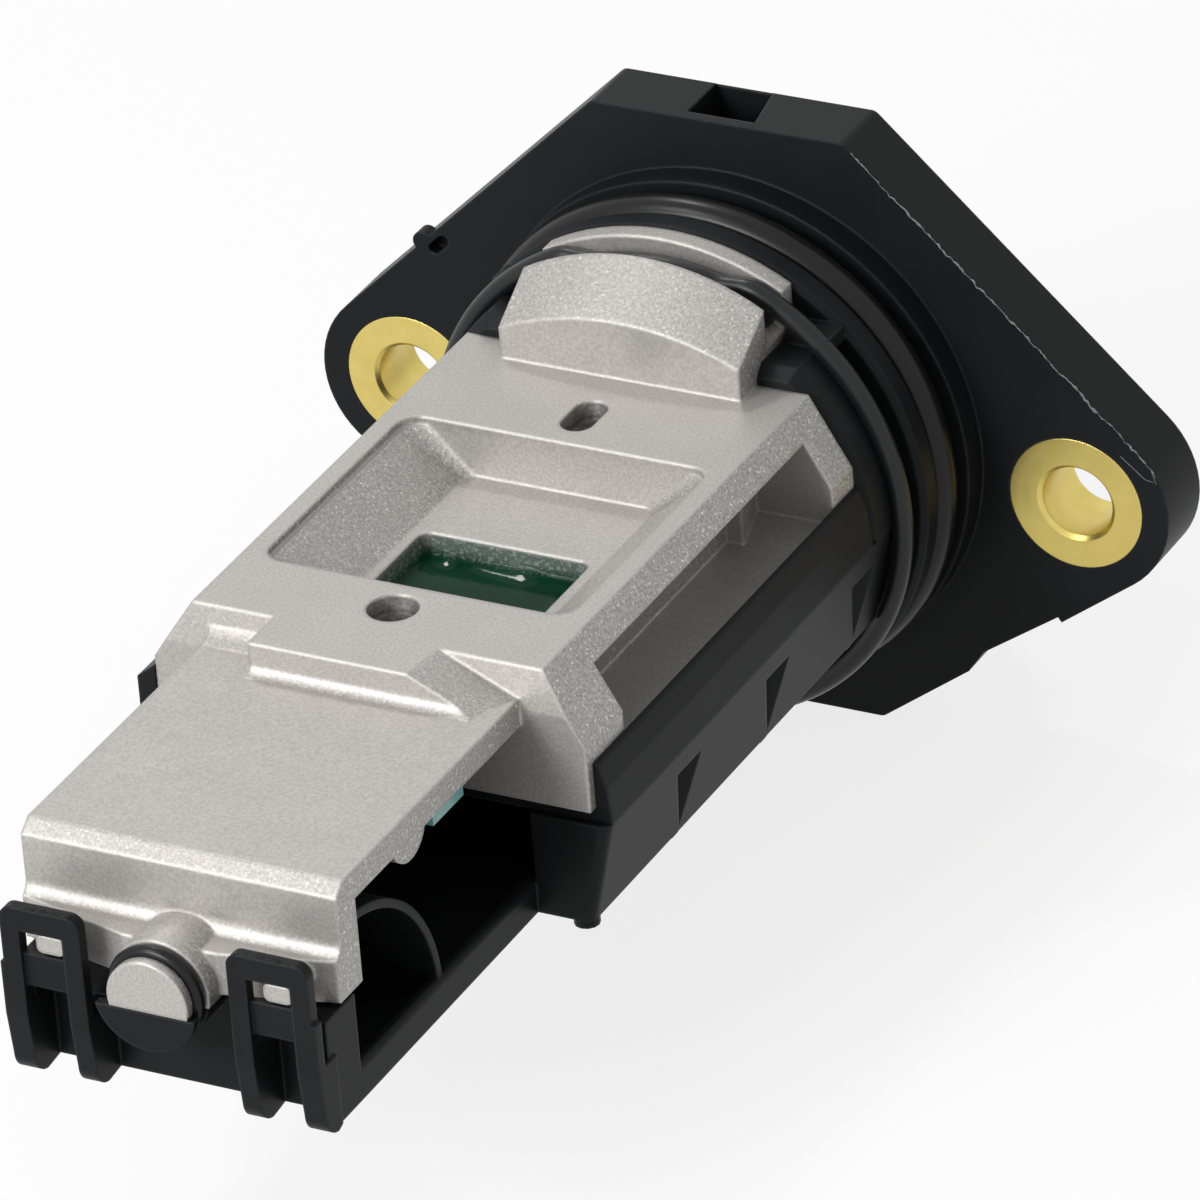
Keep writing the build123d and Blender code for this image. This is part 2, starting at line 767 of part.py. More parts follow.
# channel cover: lower shell, trough, end wall, clips and lower pin half
with BuildPart() as channel_cover:
    with BuildSketch(at_y(cover_far)):
        Polygon(
            (-cover_half_top, cover_top),
            (cover_half_top, cover_top),
            (cover_half_bottom, cover_bottom),
            (-cover_half_bottom, cover_bottom),
            align=None,
        )
    extrude(amount=cover_far - cover_near)
    corner_edges = channel_cover.edges().filter_by(Axis.Z, tolerance=25).group_by(Axis.Y)[0]
    fillet(corner_edges, radius=cover_corner_r)
    # feet under the near corners and nubs under the notches
    with BuildSketch(Plane.XY.offset(cover_bottom)):
        for side in (-1, 1):
            with Locations((side * (cover_half_bottom - foot_r), cover_near + foot_r)):
                RegularPolygon(foot_r, foot_sides)
    extrude(amount=-foot_drop)
    for index in range(notch_count):
        notch_y = notch_first + index * notch_pitch
        with BuildSketch(Plane.XY.offset(cover_bottom)):
            with Locations((0, notch_y - nub_l / 2)):
                Rectangle(2 * cover_half_bottom, nub_l)
        extrude(amount=-nub_drop, taper=30)
    # bypass channel inside the shell
    with BuildSketch(Plane.XY.offset(cover_top)):
        with Locations((0, (channel_near + channel_far) / 2)):
            RectangleRounded(2 * channel_half, channel_far - channel_near, 2.5)
    extrude(amount=cover_bottom + cover_floor_t - cover_top, mode=Mode.SUBTRACT)
    # dividing rib of the bypass
    with BuildSketch(Plane.XY.offset(cover_bottom + cover_floor_t)):
        with Locations((0, (channel_near + outlet_near) / 2 - 4)):
            Rectangle(1.2, outlet_near - channel_near - 6)
    extrude(amount=cover_top - cover_bottom - cover_floor_t - 0.1)
    # floor of the trough
    with BuildSketch(Plane.XY.offset(cover_bottom)):
        with Locations((0, (trough_end + channel_near) / 2)):
            Rectangle(2 * roof_half, channel_near - trough_end)
    extrude(amount=cover_floor_t)
    # opening from the trough into the shell
    with BuildSketch(at_y(channel_near + slip)):
        with Locations((trough_wall / 2, (cover_bottom + cover_floor_t + cover_top) / 2)):
            Rectangle(2 * roof_half - trough_wall, cover_top - cover_bottom - cover_floor_t)
    extrude(amount=channel_near + slip - cover_near, mode=Mode.SUBTRACT)
    # high wall on the left of the trough, low wall on the right
    with BuildSketch(Plane.XY.offset(cover_bottom)):
        with Locations((-roof_half + trough_wall / 2, (trough_end + skirt_near - slip) / 2)):
            Rectangle(trough_wall, skirt_near - slip - trough_end)
        with Locations((-roof_half + trough_wall / 2, (fold_back + slip + trough_end) / 2)):
            Rectangle(2 * trough_wall, fold_back + slip - trough_end, mode=Mode.SUBTRACT)
    extrude(amount=roof_top - roof_t - 0.1 - cover_bottom)
    with BuildSketch(at_y(channel_near)):
        with Locations((roof_half - trough_wall / 2, cover_bottom + trough_wall_round)):
            Rectangle(trough_wall, 2 * trough_wall_round)
        with Locations((roof_half - trough_wall / 2, (trough_wall_top + cover_bottom) / 2)):
            RectangleRounded(trough_wall, trough_wall_top - cover_bottom, trough_wall_round)
    extrude(amount=channel_near - trough_end)
    # curved guide wall across the trough
    with BuildSketch(Plane.YZ.offset(-roof_half + 0.5)):
        with Locations((guide_y, cover_bottom + cover_floor_t)):
            Circle(guide_r)
            Circle(guide_r - guide_t, mode=Mode.SUBTRACT)
        with Locations((guide_y - guide_r + (fold_back + 0.1 - guide_y), 0)):
            Rectangle(2 * guide_r, 6 * guide_r, mode=Mode.SUBTRACT)
        with Locations((guide_y, cover_bottom + cover_floor_t - guide_r - 0.2)):
            Rectangle(4 * guide_r, 2 * guide_r, mode=Mode.SUBTRACT)
    extrude(amount=2 * roof_half - 0.8)
    # end wall
    with BuildSketch(at_y(end_wall_in)):
        with Locations((0, (end_wall_top + cover_bottom) / 2)):
            Rectangle(2 * roof_half, end_wall_top - cover_bottom)
    extrude(amount=end_wall_in - trough_end)
    # room for the casting's boss in the end wall
    with BuildSketch(at_y(end_wall_in + 0.1)):
        with Locations((0, pin_split_z - slip)):
            Rectangle(2 * boss_r + 0.2, 1.2)
    extrude(amount=end_wall_in - trough_end + 0.2, mode=Mode.SUBTRACT)
    # side blocks and clip frames
    for side in (-1, 1):
        with BuildSketch(at_y(end_wall_in)):
            with Locations((side * (roof_half - trough_wall / 2), (side_block_top + cover_bottom) / 2)):
                Rectangle(trough_wall, side_block_top - cover_bottom)
        extrude(amount=end_wall_in - side_block_front)
        with BuildSketch(at_y(clip_back)):
            with Locations((side * (clip_inner + clip_outer) / 2, (clip_top + clip_window_top) / 2)):
                Rectangle(clip_outer - clip_inner, clip_top - clip_window_top)
        extrude(amount=clip_back - clip_front)
        with BuildSketch(at_y(clip_back)):
            with Locations((side * (clip_inner + clip_outer) / 2, (clip_bar_top + clip_bar_bottom) / 2)):
                Rectangle(clip_outer - clip_inner, clip_bar_top - clip_bar_bottom)
        extrude(amount=clip_back - clip_front - clip_bar_back)
        for leg_x in (clip_inner + clip_leg / 2, clip_outer - clip_leg / 2):
            with BuildSketch(Plane.YZ.offset(side * leg_x - clip_leg / 2)) as leg_profile:
                with BuildLine():
                    Polyline(
                        (clip_toe_y, clip_toe_z),
                        (trough_end + 0.3, cover_bottom + 0.02),
                        (trough_end + 0.3, clip_root_top),
                        (clip_back, clip_root_top),
                        (clip_back, clip_top),
                        (clip_front, clip_top),
                        (clip_front, clip_curve_top),
                        (clip_knee_y, clip_knee_z),
                    )
                    ThreePointArc(
                        (clip_knee_y, clip_knee_z),
                        (clip_knee_y + 0.5, clip_toe_z + 0.45),
                        (clip_toe_y, clip_toe_z),
                    )
                make_face()
            extrude(amount=clip_leg)
        # outer leg is wider below the crossbar
        with BuildSketch(Plane.YZ.offset(side * clip_outer)):
            with BuildLine():
                Polyline(
                    (clip_toe_y, clip_toe_z),
                    (trough_end - 1.0, cover_bottom + 0.02),
                    (trough_end - 1.0, clip_root_top),
                    (clip_back, clip_root_top),
                    (clip_back, clip_jog_top),
                    (clip_front, clip_jog_top),
                    (clip_front, clip_curve_top),
                    (clip_knee_y, clip_knee_z),
                )
                ThreePointArc(
                    (clip_knee_y, clip_knee_z),
                    (clip_knee_y + 0.5, clip_toe_z + 0.45),
                    (clip_toe_y, clip_toe_z),
                )
            make_face()
        extrude(amount=side * clip_jog)
    # rounded heads of the clips
    head_edges = (
        channel_cover.edges()
        .filter_by(Axis.Y)
        .filter_by_position(Axis.Z, clip_top - 0.01, clip_top + 0.01)
    )
    fillet(head_edges, radius=0.9)
    # lower half of the boss and the pin
    with BuildSketch(at_y(trough_end + 0.3)):
        with Locations((0, pin_z)):
            Circle(boss_r)
        with Locations((0, pin_split_z - slip + boss_r)):
            Rectangle(3 * boss_r, 2 * boss_r, mode=Mode.SUBTRACT)
    extrude(amount=trough_end + 0.3 - pin_groove_back)
    with BuildSketch(at_y(pin_groove_back)):
        with Locations((0, pin_z)):
            Circle(pin_groove_r)
        with Locations((0, pin_split_z - slip + boss_r)):
            Rectangle(3 * boss_r, 2 * boss_r, mode=Mode.SUBTRACT)
    extrude(amount=pin_groove_back - pin_groove_front)
    with BuildSketch(at_y(pin_groove_front)):
        with Locations((lower_pin_x, pin_z)):
            Circle(lower_pin_r)
        with Locations((0, pin_split_z - slip + boss_r)):
            Rectangle(3 * boss_r, 2 * boss_r, mode=Mode.SUBTRACT)
    extrude(amount=pin_groove_front - pin_end)
    # outlet of the bypass in the underside
    with BuildSketch(Plane.XY.offset(cover_bottom - 0.1)):
        with Locations((0, (outlet_near + outlet_far) / 2)):
            RectangleRounded(2 * outlet_half, outlet_far - outlet_near, 1.5)
    extrude(amount=cover_floor_t + 0.2, mode=Mode.SUBTRACT)
    # wedge notches down the sides
    for index in range(notch_count):
        notch_y = notch_first + index * notch_pitch
        for side in (-1, 1):
            with BuildSketch(Plane.YZ.offset(side * rail_outer)):
                Polygon(
                    (notch_y - notch_ahead, notch_top),
                    (notch_y + notch_behind, notch_top),
                    (notch_y, cover_bottom),
                    align=None,
                )
            front_view = extrude(amount=-side * (cover_draft + notch_depth), mode=Mode.PRIVATE)
            with BuildSketch(Plane.XY.offset(cover_bottom)):
                Polygon(
                    (side * rail_outer, notch_y - notch_ahead),
                    (side * rail_outer, notch_y + notch_behind),
                    (side * (cover_half_top - notch_run_out), notch_y + notch_behind),
                    (side * (cover_half_top - notch_depth), notch_y - notch_ahead),
                    align=None,
                )
            top_view = extrude(amount=notch_top - cover_bottom, mode=Mode.PRIVATE)
            add(front_view & top_view, mode=Mode.SUBTRACT)
channel_cover.part.label = "channel_cover"
export_step(channel_cover.part, "parts/channel_cover.step")

# seal round the spigot
with BuildPart() as spigot_seal:
    with BuildSketch(Plane.YZ):
        with Locations((seal_y, groove_r + soft_gap + seal_cord_r)):
            RegularPolygon(seal_cord_r, seal_sides)
    revolve(axis=Axis.Y)
spigot_seal.part.label = "spigot_seal"
export_step(spigot_seal.part, "parts/spigot_seal.step")

# seal round the tip pin
with BuildPart() as pin_seal:
    with BuildSketch(Plane.YZ):
        with Locations(((pin_groove_back + pin_groove_front) / 2, pin_z + pin_seal_r)):
            RegularPolygon(pin_seal_cord_r, pin_seal_sides)
    revolve(axis=Axis((0, 0, pin_z), (0, 1, 0)))
pin_seal.part.label = "pin_seal"
export_step(pin_seal.part, "parts/pin_seal.step")

# screw bushes
with BuildPart() as bush_right:
    with BuildSketch(at_y(flange_t)):
        with Locations((bush_spacing / 2, -bush_drop)):
            Circle(bush_r)
            Circle(bush_bore_r, mode=Mode.SUBTRACT)
    extrude(amount=flange_t)
    bore_edges = bush_right.edges().filter_by(GeomType.CIRCLE).sort_by(SortBy.RADIUS)[0:2]
    chamfer(bore_edges, length=bush_bevel)
bush_right.part.label = "bush_right"
export_step(bush_right.part, "parts/bush_right.step")

with BuildPart() as bush_left:
    with BuildSketch(at_y(flange_t)):
        with Locations((-bush_spacing / 2, -bush_drop)):
            Circle(bush_r)
            Circle(bush_bore_r, mode=Mode.SUBTRACT)
    extrude(amount=flange_t)
    bore_edges = bush_left.edges().filter_by(GeomType.CIRCLE).sort_by(SortBy.RADIUS)[0:2]
    chamfer(bore_edges, length=bush_bevel)
bush_left.part.label = "bush_left"
export_step(bush_left.part, "parts/bush_left.step")

# hybrid board, resting on the casting's ledges
with BuildPart() as circuit_board:
    with BuildSketch(Plane.XY.offset(board_top)):
        with Locations((0, (board_near + board_far) / 2)):
            Rectangle(2 * board_half, board_far - board_near)
    extrude(amount=-board_t)
circuit_board.part.label = "circuit_board"
export_step(circuit_board.part, "parts/circuit_board.step")

# gel over the board in the window
with BuildPart() as gel:
    with BuildSketch(Plane.XY.offset(board_top)):
        with Locations((0, (window_near + window_far) / 2)):
            Rectangle(2 * (window_half - gel_gap), window_far - window_near - 2 * gel_gap)
    extrude(amount=gel_top - board_top)
gel.part.label = "gel"
export_step(gel.part, "parts/gel.step")

# control chip and two capacitors under the board
with BuildPart() as control_chip:
    with BuildSketch(Plane.XY.offset(board_top - board_t)):
        with Locations((0, (board_near + board_far) / 2)):
            Rectangle(chip_size, chip_size)
    extrude(amount=-chip_h)
control_chip.part.label = "control_chip"
export_step(control_chip.part, "parts/control_chip.step")

with BuildPart() as capacitor_near:
    with BuildSketch(Plane.XY.offset(board_top - board_t)):
        with Locations((-board_half + cap_inset, board_near + cap_setback)):
            Rectangle(cap_l, cap_w)
    extrude(amount=-cap_h)
capacitor_near.part.label = "capacitor_near"
export_step(capacitor_near.part, "parts/capacitor_near.step")

with BuildPart() as capacitor_far:
    with BuildSketch(Plane.XY.offset(board_top - board_t)):
        with Locations((board_half - cap_inset, board_far - cap_setback)):
            Rectangle(cap_l, cap_w)
    extrude(amount=-cap_h)
capacitor_far.part.label = "capacitor_far"
export_step(capacitor_far.part, "parts/capacitor_far.step")

# glass measuring strip under the roof
with BuildPart() as sensor_strip:
    with BuildSketch(Plane.XY.offset(roof_top - roof_t)):
        with Locations(((strip_left + tab_outer) / 2, (strip_near + strip_far) / 2)):
            Rectangle(tab_outer - strip_left, strip_far - strip_near)
    extrude(amount=-strip_t)
sensor_strip.part.label = "sensor_strip"
export_step(sensor_strip.part, "parts/sensor_strip.step")

# connector leads, each one piece from blade to board
for index in range(blade_count):
    lead_x = socket_x + (index - (blade_count - 1) / 2) * blade_pitch
    lead_name = f"terminal_{index + 1}"
    with BuildPart() as terminal:
        with BuildSketch(Plane.YZ.offset(lead_x - blade_w / 2)):
            Polygon(
                (blade_y - blade_t / 2, blade_tip_z),
                (blade_y + blade_t / 2, blade_tip_z),
                (blade_y + blade_t / 2, board_top - board_t),
                (board_far - 2.0, board_top - board_t),
                (board_far - 2.0, board_top - board_t - blade_t),
                (blade_y - blade_t / 2, board_top - board_t - blade_t),
                align=None,
            )
        extrude(amount=blade_w)
    terminal.part.label = lead_name
    export_step(terminal.part, f"parts/{lead_name}.step")
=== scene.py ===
"""Finishes, small surfaces, studio and camera for a plug-in mass airflow sensor."""

import logging
import math
from dataclasses import dataclass
from enum import Enum

import bpy
import numpy as np
from mathutils import Matrix, Vector


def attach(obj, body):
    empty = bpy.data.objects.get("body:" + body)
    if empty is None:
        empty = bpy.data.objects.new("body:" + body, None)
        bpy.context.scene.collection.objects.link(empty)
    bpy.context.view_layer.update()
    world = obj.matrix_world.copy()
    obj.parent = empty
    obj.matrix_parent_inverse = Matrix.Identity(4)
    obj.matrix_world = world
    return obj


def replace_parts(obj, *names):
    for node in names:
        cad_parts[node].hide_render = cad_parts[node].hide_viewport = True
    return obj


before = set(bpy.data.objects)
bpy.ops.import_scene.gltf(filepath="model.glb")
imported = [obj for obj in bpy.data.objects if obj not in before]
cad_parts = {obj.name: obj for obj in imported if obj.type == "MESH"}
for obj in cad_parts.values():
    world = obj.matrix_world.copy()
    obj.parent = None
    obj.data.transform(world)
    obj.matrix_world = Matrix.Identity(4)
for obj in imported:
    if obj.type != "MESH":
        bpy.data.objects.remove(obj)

LOG = logging.getLogger("airflow_sensor")
MM = 0.001
BODY = "root"

# the flange's bosses and right upper edge, in millimetres and in degrees from X
BUSH_X = 26.0
BUSH_Z = -2.3
FLANGE_END_R = 7.0
EDGE_TOP = (10.3, 22.2)
EDGE_FROM = 46.6
EDGE_TO = 27.0
EDGE_STEPS = 8


class Slot(Enum):
    """Names of the record's material slots."""

    MOULDING = "moulding"
    CASTING = "casting"
    SEAL_RUBBER = "seal_rubber"
    GEL = "gel"


# Helpers for colours, nodes and meshes


def linear(code: str) -> tuple[float, float, float, float]:
    """Turns an sRGB colour into the linear values that a shader takes.

    Each channel c of 0 to 1 becomes c / 12.92 below 0.04045, and ((c + 0.055) / 1.055) ** 2.4 above.

    Args:
        code: The colour as "#rrggbb".

    Returns:
        The linear red, green and blue, and an alpha of 1.
    """
    channels = [int(code[i : i + 2], 16) / 255 for i in (1, 3, 5)]
    bent = [c / 12.92 if c <= 0.04045 else ((c + 0.055) / 1.055) ** 2.4 for c in channels]
    return (*bent, 1.0)


def per_mm(size: float) -> float:
    """The scale, for coordinates in metres, at which a texture's feature is size millimetres wide."""
    return 1000.0 / size


def add_node(
    tree: bpy.types.NodeTree, kind: str, inputs: dict | None = None, **settings: object
) -> bpy.types.Node:
    """Adds a node with its settings and links.

    Args:
        tree: The node tree that gets it.
        kind: The node's type name.
        inputs: For each input, by name or place, a value or the output socket that feeds it.
        **settings: The node's own properties.

    Returns:
        The new node.
    """
    node = tree.nodes.new(kind)
    for name, value in settings.items():
        setattr(node, name, value)
    for key, value in (inputs or {}).items():
        if isinstance(value, bpy.types.NodeSocket):
            tree.links.new(value, node.inputs[key])
        else:
            node.inputs[key].default_value = value
    return node


def new_tree(name: str) -> tuple[bpy.types.Material, bpy.types.NodeTree]:
    """Makes a new material with an emptied node tree.

    Args:
        name: The material's name.

    Returns:
        The material and its tree.
    """
    material = bpy.data.materials.new(name)
    material.use_nodes = True
    material.node_tree.nodes.clear()
    return material, material.node_tree


def grid_faces(rows: int, columns: int, closed: bool = False) -> np.ndarray:
    """Quads between neighbouring points of a grid.

    Point (r, c) has the number r * columns + c, and a face joins it to the next row and column.

    Args:
        rows: The grid's rows.
        columns: The grid's columns.
        closed: Whether the last column joins the first.

    Returns:
        An array of four point numbers a face.
    """
    r = np.arange(rows - 1)[:, None]
    c = np.arange(columns if closed else columns - 1)[None, :]
    n = (c + 1) % columns
    quads = np.stack([r * columns + c, r * columns + n, (r + 1) * columns + n, (r + 1) * columns + c], -1)
    return quads.reshape(-1, 4)


def piece_from(
    name: str, points: np.ndarray, faces: np.ndarray | list, finish: bpy.types.Material
) -> bpy.types.Object:
    """Makes a smooth shaded piece that rides on the part.

    Args:
        name: The piece's name.
        points: Its points in millimetres, in the part's frame.
        faces: Point numbers of each face.
        finish: Its material.

    Returns:
        The new object.
    """
    mesh = bpy.data.meshes.new(name)
    mesh.from_pydata((points * MM).tolist(), [], [list(face) for face in faces])
    mesh.polygons.foreach_set("use_smooth", np.ones(len(mesh.polygons), dtype=bool))
    mesh.materials.append(finish)
    mesh.update()
    piece = bpy.data.objects.new(name, mesh)
    bpy.context.scene.collection.objects.link(piece)
    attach(piece, BODY)
    LOG.info("piece %s: %d faces", name, len(faces))
    return piece


def set_rgba(node: bpy.types.Node, low: object, high: object) -> None:
    """Feeds the two colours of a Mix node, each a value or a socket.

    Args:
        node: The Mix node, of colour type.
        low: What factor 0 gives.
        high: What factor 1 gives.
    """
    for place, value in ((6, low), (7, high)):
        if isinstance(value, bpy.types.NodeSocket):
            node.id_data.links.new(value, node.inputs[place])
        else:
            node.inputs[place].default_value = value


def edge_mask(
    tree: bpy.types.NodeTree, soft: bpy.types.NodeSocket, low: float, high: float
) -> bpy.types.NodeSocket:
    """A mask of 1 on sharp edges, from how far the rounded normal leans from the true one.

    Args:
        tree: The material's tree.
        soft: The rounded normal.
        low: The lean, as 1 minus the cosine, at which the mask starts.
        high: The lean at which it is full.

    Returns:
        The mask's socket.
    """
    true = add_node(tree, "ShaderNodeNewGeometry").outputs["Normal"]
    lean = add_node(tree, "ShaderNodeVectorMath", {0: soft, 1: true}, operation="DOT_PRODUCT")
    mask = add_node(
        tree, "ShaderNodeMapRange",
        {"Value": lean.outputs["Value"], "From Min": 1 - low, "From Max": 1 - high},
    )
    return mask.outputs["Result"]


# Finishes


@dataclass(frozen=True)
class GlassFilledPlastic:
    """Injection-moulded, glass-filled polyester, black.

    The fibres near the skin make it charcoal and not pure black, and give a fine eggshell sheen. Sharp edges
    are drawn paler in patches, a painted highlight. The skin's mottle is drawn coarser than the fibres, which
    are too thin to show.
    """

    name: str = "glass-filled polyester, moulded black"
    deep: str = "#131415"
    pale: str = "#1a1b1d"
    edge_highlight: str = "#434446"
    roughness: float = 0.42
    ior: float = 1.5
    level: float = 0.1
    skin_mm: float = 0.35
    cloud_mm: float = 6.0
    edge_mm: float = 0.3
    edge_from: float = 0.04
    edge_full: float = 0.3
    bump: float = 0.25
    bump_mm: float = 0.02

    def material(self) -> bpy.types.Material:
        """Builds the node material.

        Returns:
            The material.
        """
        material, tree = new_tree(self.name)
        spot = add_node(tree, "ShaderNodeTexCoord").outputs["Object"]
        cloud = add_node(
            tree, "ShaderNodeTexNoise", {"Vector": spot, "Scale": per_mm(self.cloud_mm), "Detail": 3.0}
        )
        skin = add_node(
            tree, "ShaderNodeTexNoise", {"Vector": spot, "Scale": per_mm(self.skin_mm), "Detail": 4.0}
        )
        tone = add_node(tree, "ShaderNodeMix", {"Factor": cloud.outputs["Fac"]}, data_type="RGBA")
        set_rgba(tone, linear(self.deep), linear(self.pale))
        soft = add_node(tree, "ShaderNodeBevel", {"Radius": self.edge_mm * MM}, samples=4)
        edge = edge_mask(tree, soft.outputs["Normal"], self.edge_from, self.edge_full)
        # painted highlight: sharp edges turn paler where the skin's noise is high
        marked = add_node(tree, "ShaderNodeMath", {0: edge, 1: skin.outputs["Fac"]}, operation="MULTIPLY")
        colour = add_node(tree, "ShaderNodeMix", {"Factor": marked.outputs[0]}, data_type="RGBA")
        set_rgba(colour, tone.outputs[2], linear(self.edge_highlight))
        bump = add_node(
            tree, "ShaderNodeBump",
            {
                "Strength": self.bump,
                "Distance": self.bump_mm * MM,
                "Height": skin.outputs["Fac"],
                "Normal": soft.outputs["Normal"],
            },
        )
        shader = add_node(
            tree, "ShaderNodeBsdfPrincipled",
            {
                "Base Color": colour.outputs[2],
                "Roughness": self.roughness,
                "IOR": self.ior,
                "Specular IOR Level": self.level,
                "Normal": bump.outputs["Normal"],
            },
        )
        add_node(tree, "ShaderNodeOutputMaterial", {"Surface": shader.outputs[0]})
        return material


@dataclass(frozen=True)
class CastAluminium:
    """Pressure die-cast aluminium, as it leaves the die.

    The skin is a warm light grey with a fine grain. Flat faces are smooth, while the side faces and bevels
    get darker pits as painted shade and bright specks as painted glints, and sharp edges a paler painted
    highlight. Grain and flakes are drawn at about twice their real size, because finer ones don't show.
    """

    name: str = "die-cast aluminium, as cast"
    skin: str = "#b7b4af"
    shade: str = "#aba8a3"
    shaded_pits_and_glints: str = "#8d8a88"
    bright: str = "#f1eeea"
    metallic: float = 0.6
    roughness: float = 0.47
    grain_mm: float = 0.2
    flake_mm: float = 0.24
    cloud_mm: float = 4.0
    pit_from: float = 0.64
    pit_full: float = 0.36
    pit_least: float = 0.42
    pit_most: float = 0.85
    glint_from: float = 0.58
    glint_full: float = 0.68
    glint_most: float = 0.85
    edge_mm: float = 0.4
    edge_from: float = 0.05
    edge_full: float = 0.5
    edge_shine: float = 0.35
    bump_least: float = 0.1
    bump_most: float = 0.4
    bump_mm: float = 0.03
    mask_least: float = 0.1
    mask_side: float = 1.8
    mask_bevel: float = 0.85

    def material(self) -> bpy.types.Material:
        """Builds the node material.

        Returns:
            The material.
        """
        material, tree = new_tree(self.name)
        spot = add_node(tree, "ShaderNodeTexCoord").outputs["Object"]
        cloud = add_node(
            tree, "ShaderNodeTexNoise", {"Vector": spot, "Scale": per_mm(self.cloud_mm), "Detail": 4.0}
        )
        grain = add_node(
            tree, "ShaderNodeTexNoise", {"Vector": spot, "Scale": per_mm(self.grain_mm), "Detail": 2.0}
        )
        flake = add_node(
            tree, "ShaderNodeTexNoise",
            {"Vector": spot, "Scale": per_mm(self.flake_mm), "Detail": 2.0, "Roughness": 0.7},
            noise_dimensions="4D",
        )
        slope = self.shade_glint_and_bump_mask(tree)
        tone = add_node(tree, "ShaderNodeMix", {"Factor": cloud.outputs["Fac"]}, data_type="RGBA")
        set_rgba(tone, linear(self.shade), linear(self.skin))
        dark = add_node(
            tree, "ShaderNodeMapRange",
            {"Value": grain.outputs["Fac"], "From Min": self.pit_from, "From Max": self.pit_full},
        )
        # painted shade: the dark pits grow stronger on side faces and bevels, by face direction
        share = add_node(
            tree, "ShaderNodeMapRange", {"Value": slope, "To Min": self.pit_least, "To Max": self.pit_most}
        )
        pitted = add_node(
            tree, "ShaderNodeMath", {0: dark.outputs[0], 1: share.outputs[0]}, operation="MULTIPLY"
        )
        marked = add_node(tree, "ShaderNodeMix", {"Factor": pitted.outputs[0]}, data_type="RGBA")
        set_rgba(marked, tone.outputs[2], linear(self.shaded_pits_and_glints))
        # painted glints: bright specks, strongest on side faces and bevels
        glint = add_node(
            tree, "ShaderNodeMapRange",
            {
                "Value": flake.outputs["Fac"],
                "From Min": self.glint_from,
                "From Max": self.glint_full,
                "To Max": self.glint_most,
            },
        )
        shaded_pits_and_glints = add_node(tree, "ShaderNodeMath", {0: glint.outputs[0], 1: slope}, operation="MULTIPLY")
        soft = add_node(tree, "ShaderNodeBevel", {"Radius": self.edge_mm * MM}, samples=6)
        edge = edge_mask(tree, soft.outputs["Normal"], self.edge_from, self.edge_full)
        # painted highlight: sharp edges are drawn paler, towards a near-white colour
        edge_highlight = add_node(tree, "ShaderNodeMath", {0: edge, 1: self.edge_shine}, operation="MULTIPLY")
        lit = add_node(
            tree, "ShaderNodeMath", {0: shaded_pits_and_glints.outputs[0], 1: edge_highlight.outputs[0]}, operation="MAXIMUM"
        )
        # the colour runs to a near-white one at the painted glints and the painted edge highlight
        colour = add_node(tree, "ShaderNodeMix", {"Factor": lit.outputs[0]}, data_type="RGBA")
        set_rgba(colour, marked.outputs[2], linear(self.bright))
        height = add_node(
            tree, "ShaderNodeMath", {0: grain.outputs["Fac"], 1: flake.outputs["Fac"]}, operation="ADD"
        )
        graded = add_node(
            tree, "ShaderNodeMapRange", {"Value": slope, "To Min": self.bump_least, "To Max": self.bump_most}
        )
        bump = add_node(
            tree, "ShaderNodeBump",
            {
                "Strength": graded.outputs[0],
                "Distance": self.bump_mm * MM,
                "Height": height.outputs[0],
                "Normal": soft.outputs["Normal"],
            },
        )
        shader = add_node(
            tree, "ShaderNodeBsdfPrincipled",
            {
                "Base Color": colour.outputs[2],
                "Metallic": self.metallic,
                "Roughness": self.roughness,
                "Normal": bump.outputs["Normal"],
            },
        )
        add_node(tree, "ShaderNodeOutputMaterial", {"Surface": shader.outputs[0]})
        return material

    def shade_glint_and_bump_mask(self, tree: bpy.types.NodeTree) -> bpy.types.NodeSocket:
        """A mask from the face's normal n, for the painted shade of the pits, the painted glints and the
        bump.

        Faces that lean sideways get the most and faces that look along Z, the die's opening line, the least,
        while bevels between Y and Z get about half: the mask is
        mask_least + mask_side nx^2 + mask_bevel |ny nz|, held between 0 and 1.

        Args:
            tree: The material's tree.

        Returns:
            The mask's socket.
        """
        normal = add_node(tree, "ShaderNodeNewGeometry").outputs["Normal"]
        size = add_node(tree, "ShaderNodeVectorMath", {0: normal}, operation="ABSOLUTE")
        part = add_node(tree, "ShaderNodeSeparateXYZ", {0: size.outputs[0]})
        bevel = add_node(
            tree, "ShaderNodeMath", {0: part.outputs["Y"], 1: part.outputs["Z"]}, operation="MULTIPLY"
        )
        leaning = add_node(
            tree, "ShaderNodeMath",
            {0: bevel.outputs[0], 1: self.mask_bevel, 2: self.mask_least}, operation="MULTIPLY_ADD",
        )
        sideways = add_node(
            tree, "ShaderNodeMath", {0: part.outputs["X"], 1: part.outputs["X"]}, operation="MULTIPLY"
        )
        mask = add_node(
            tree, "ShaderNodeMath",
            {0: sideways.outputs[0], 1: self.mask_side, 2: leaning.outputs[0]},
            operation="MULTIPLY_ADD", use_clamp=True,
        )
        return mask.outputs[0]


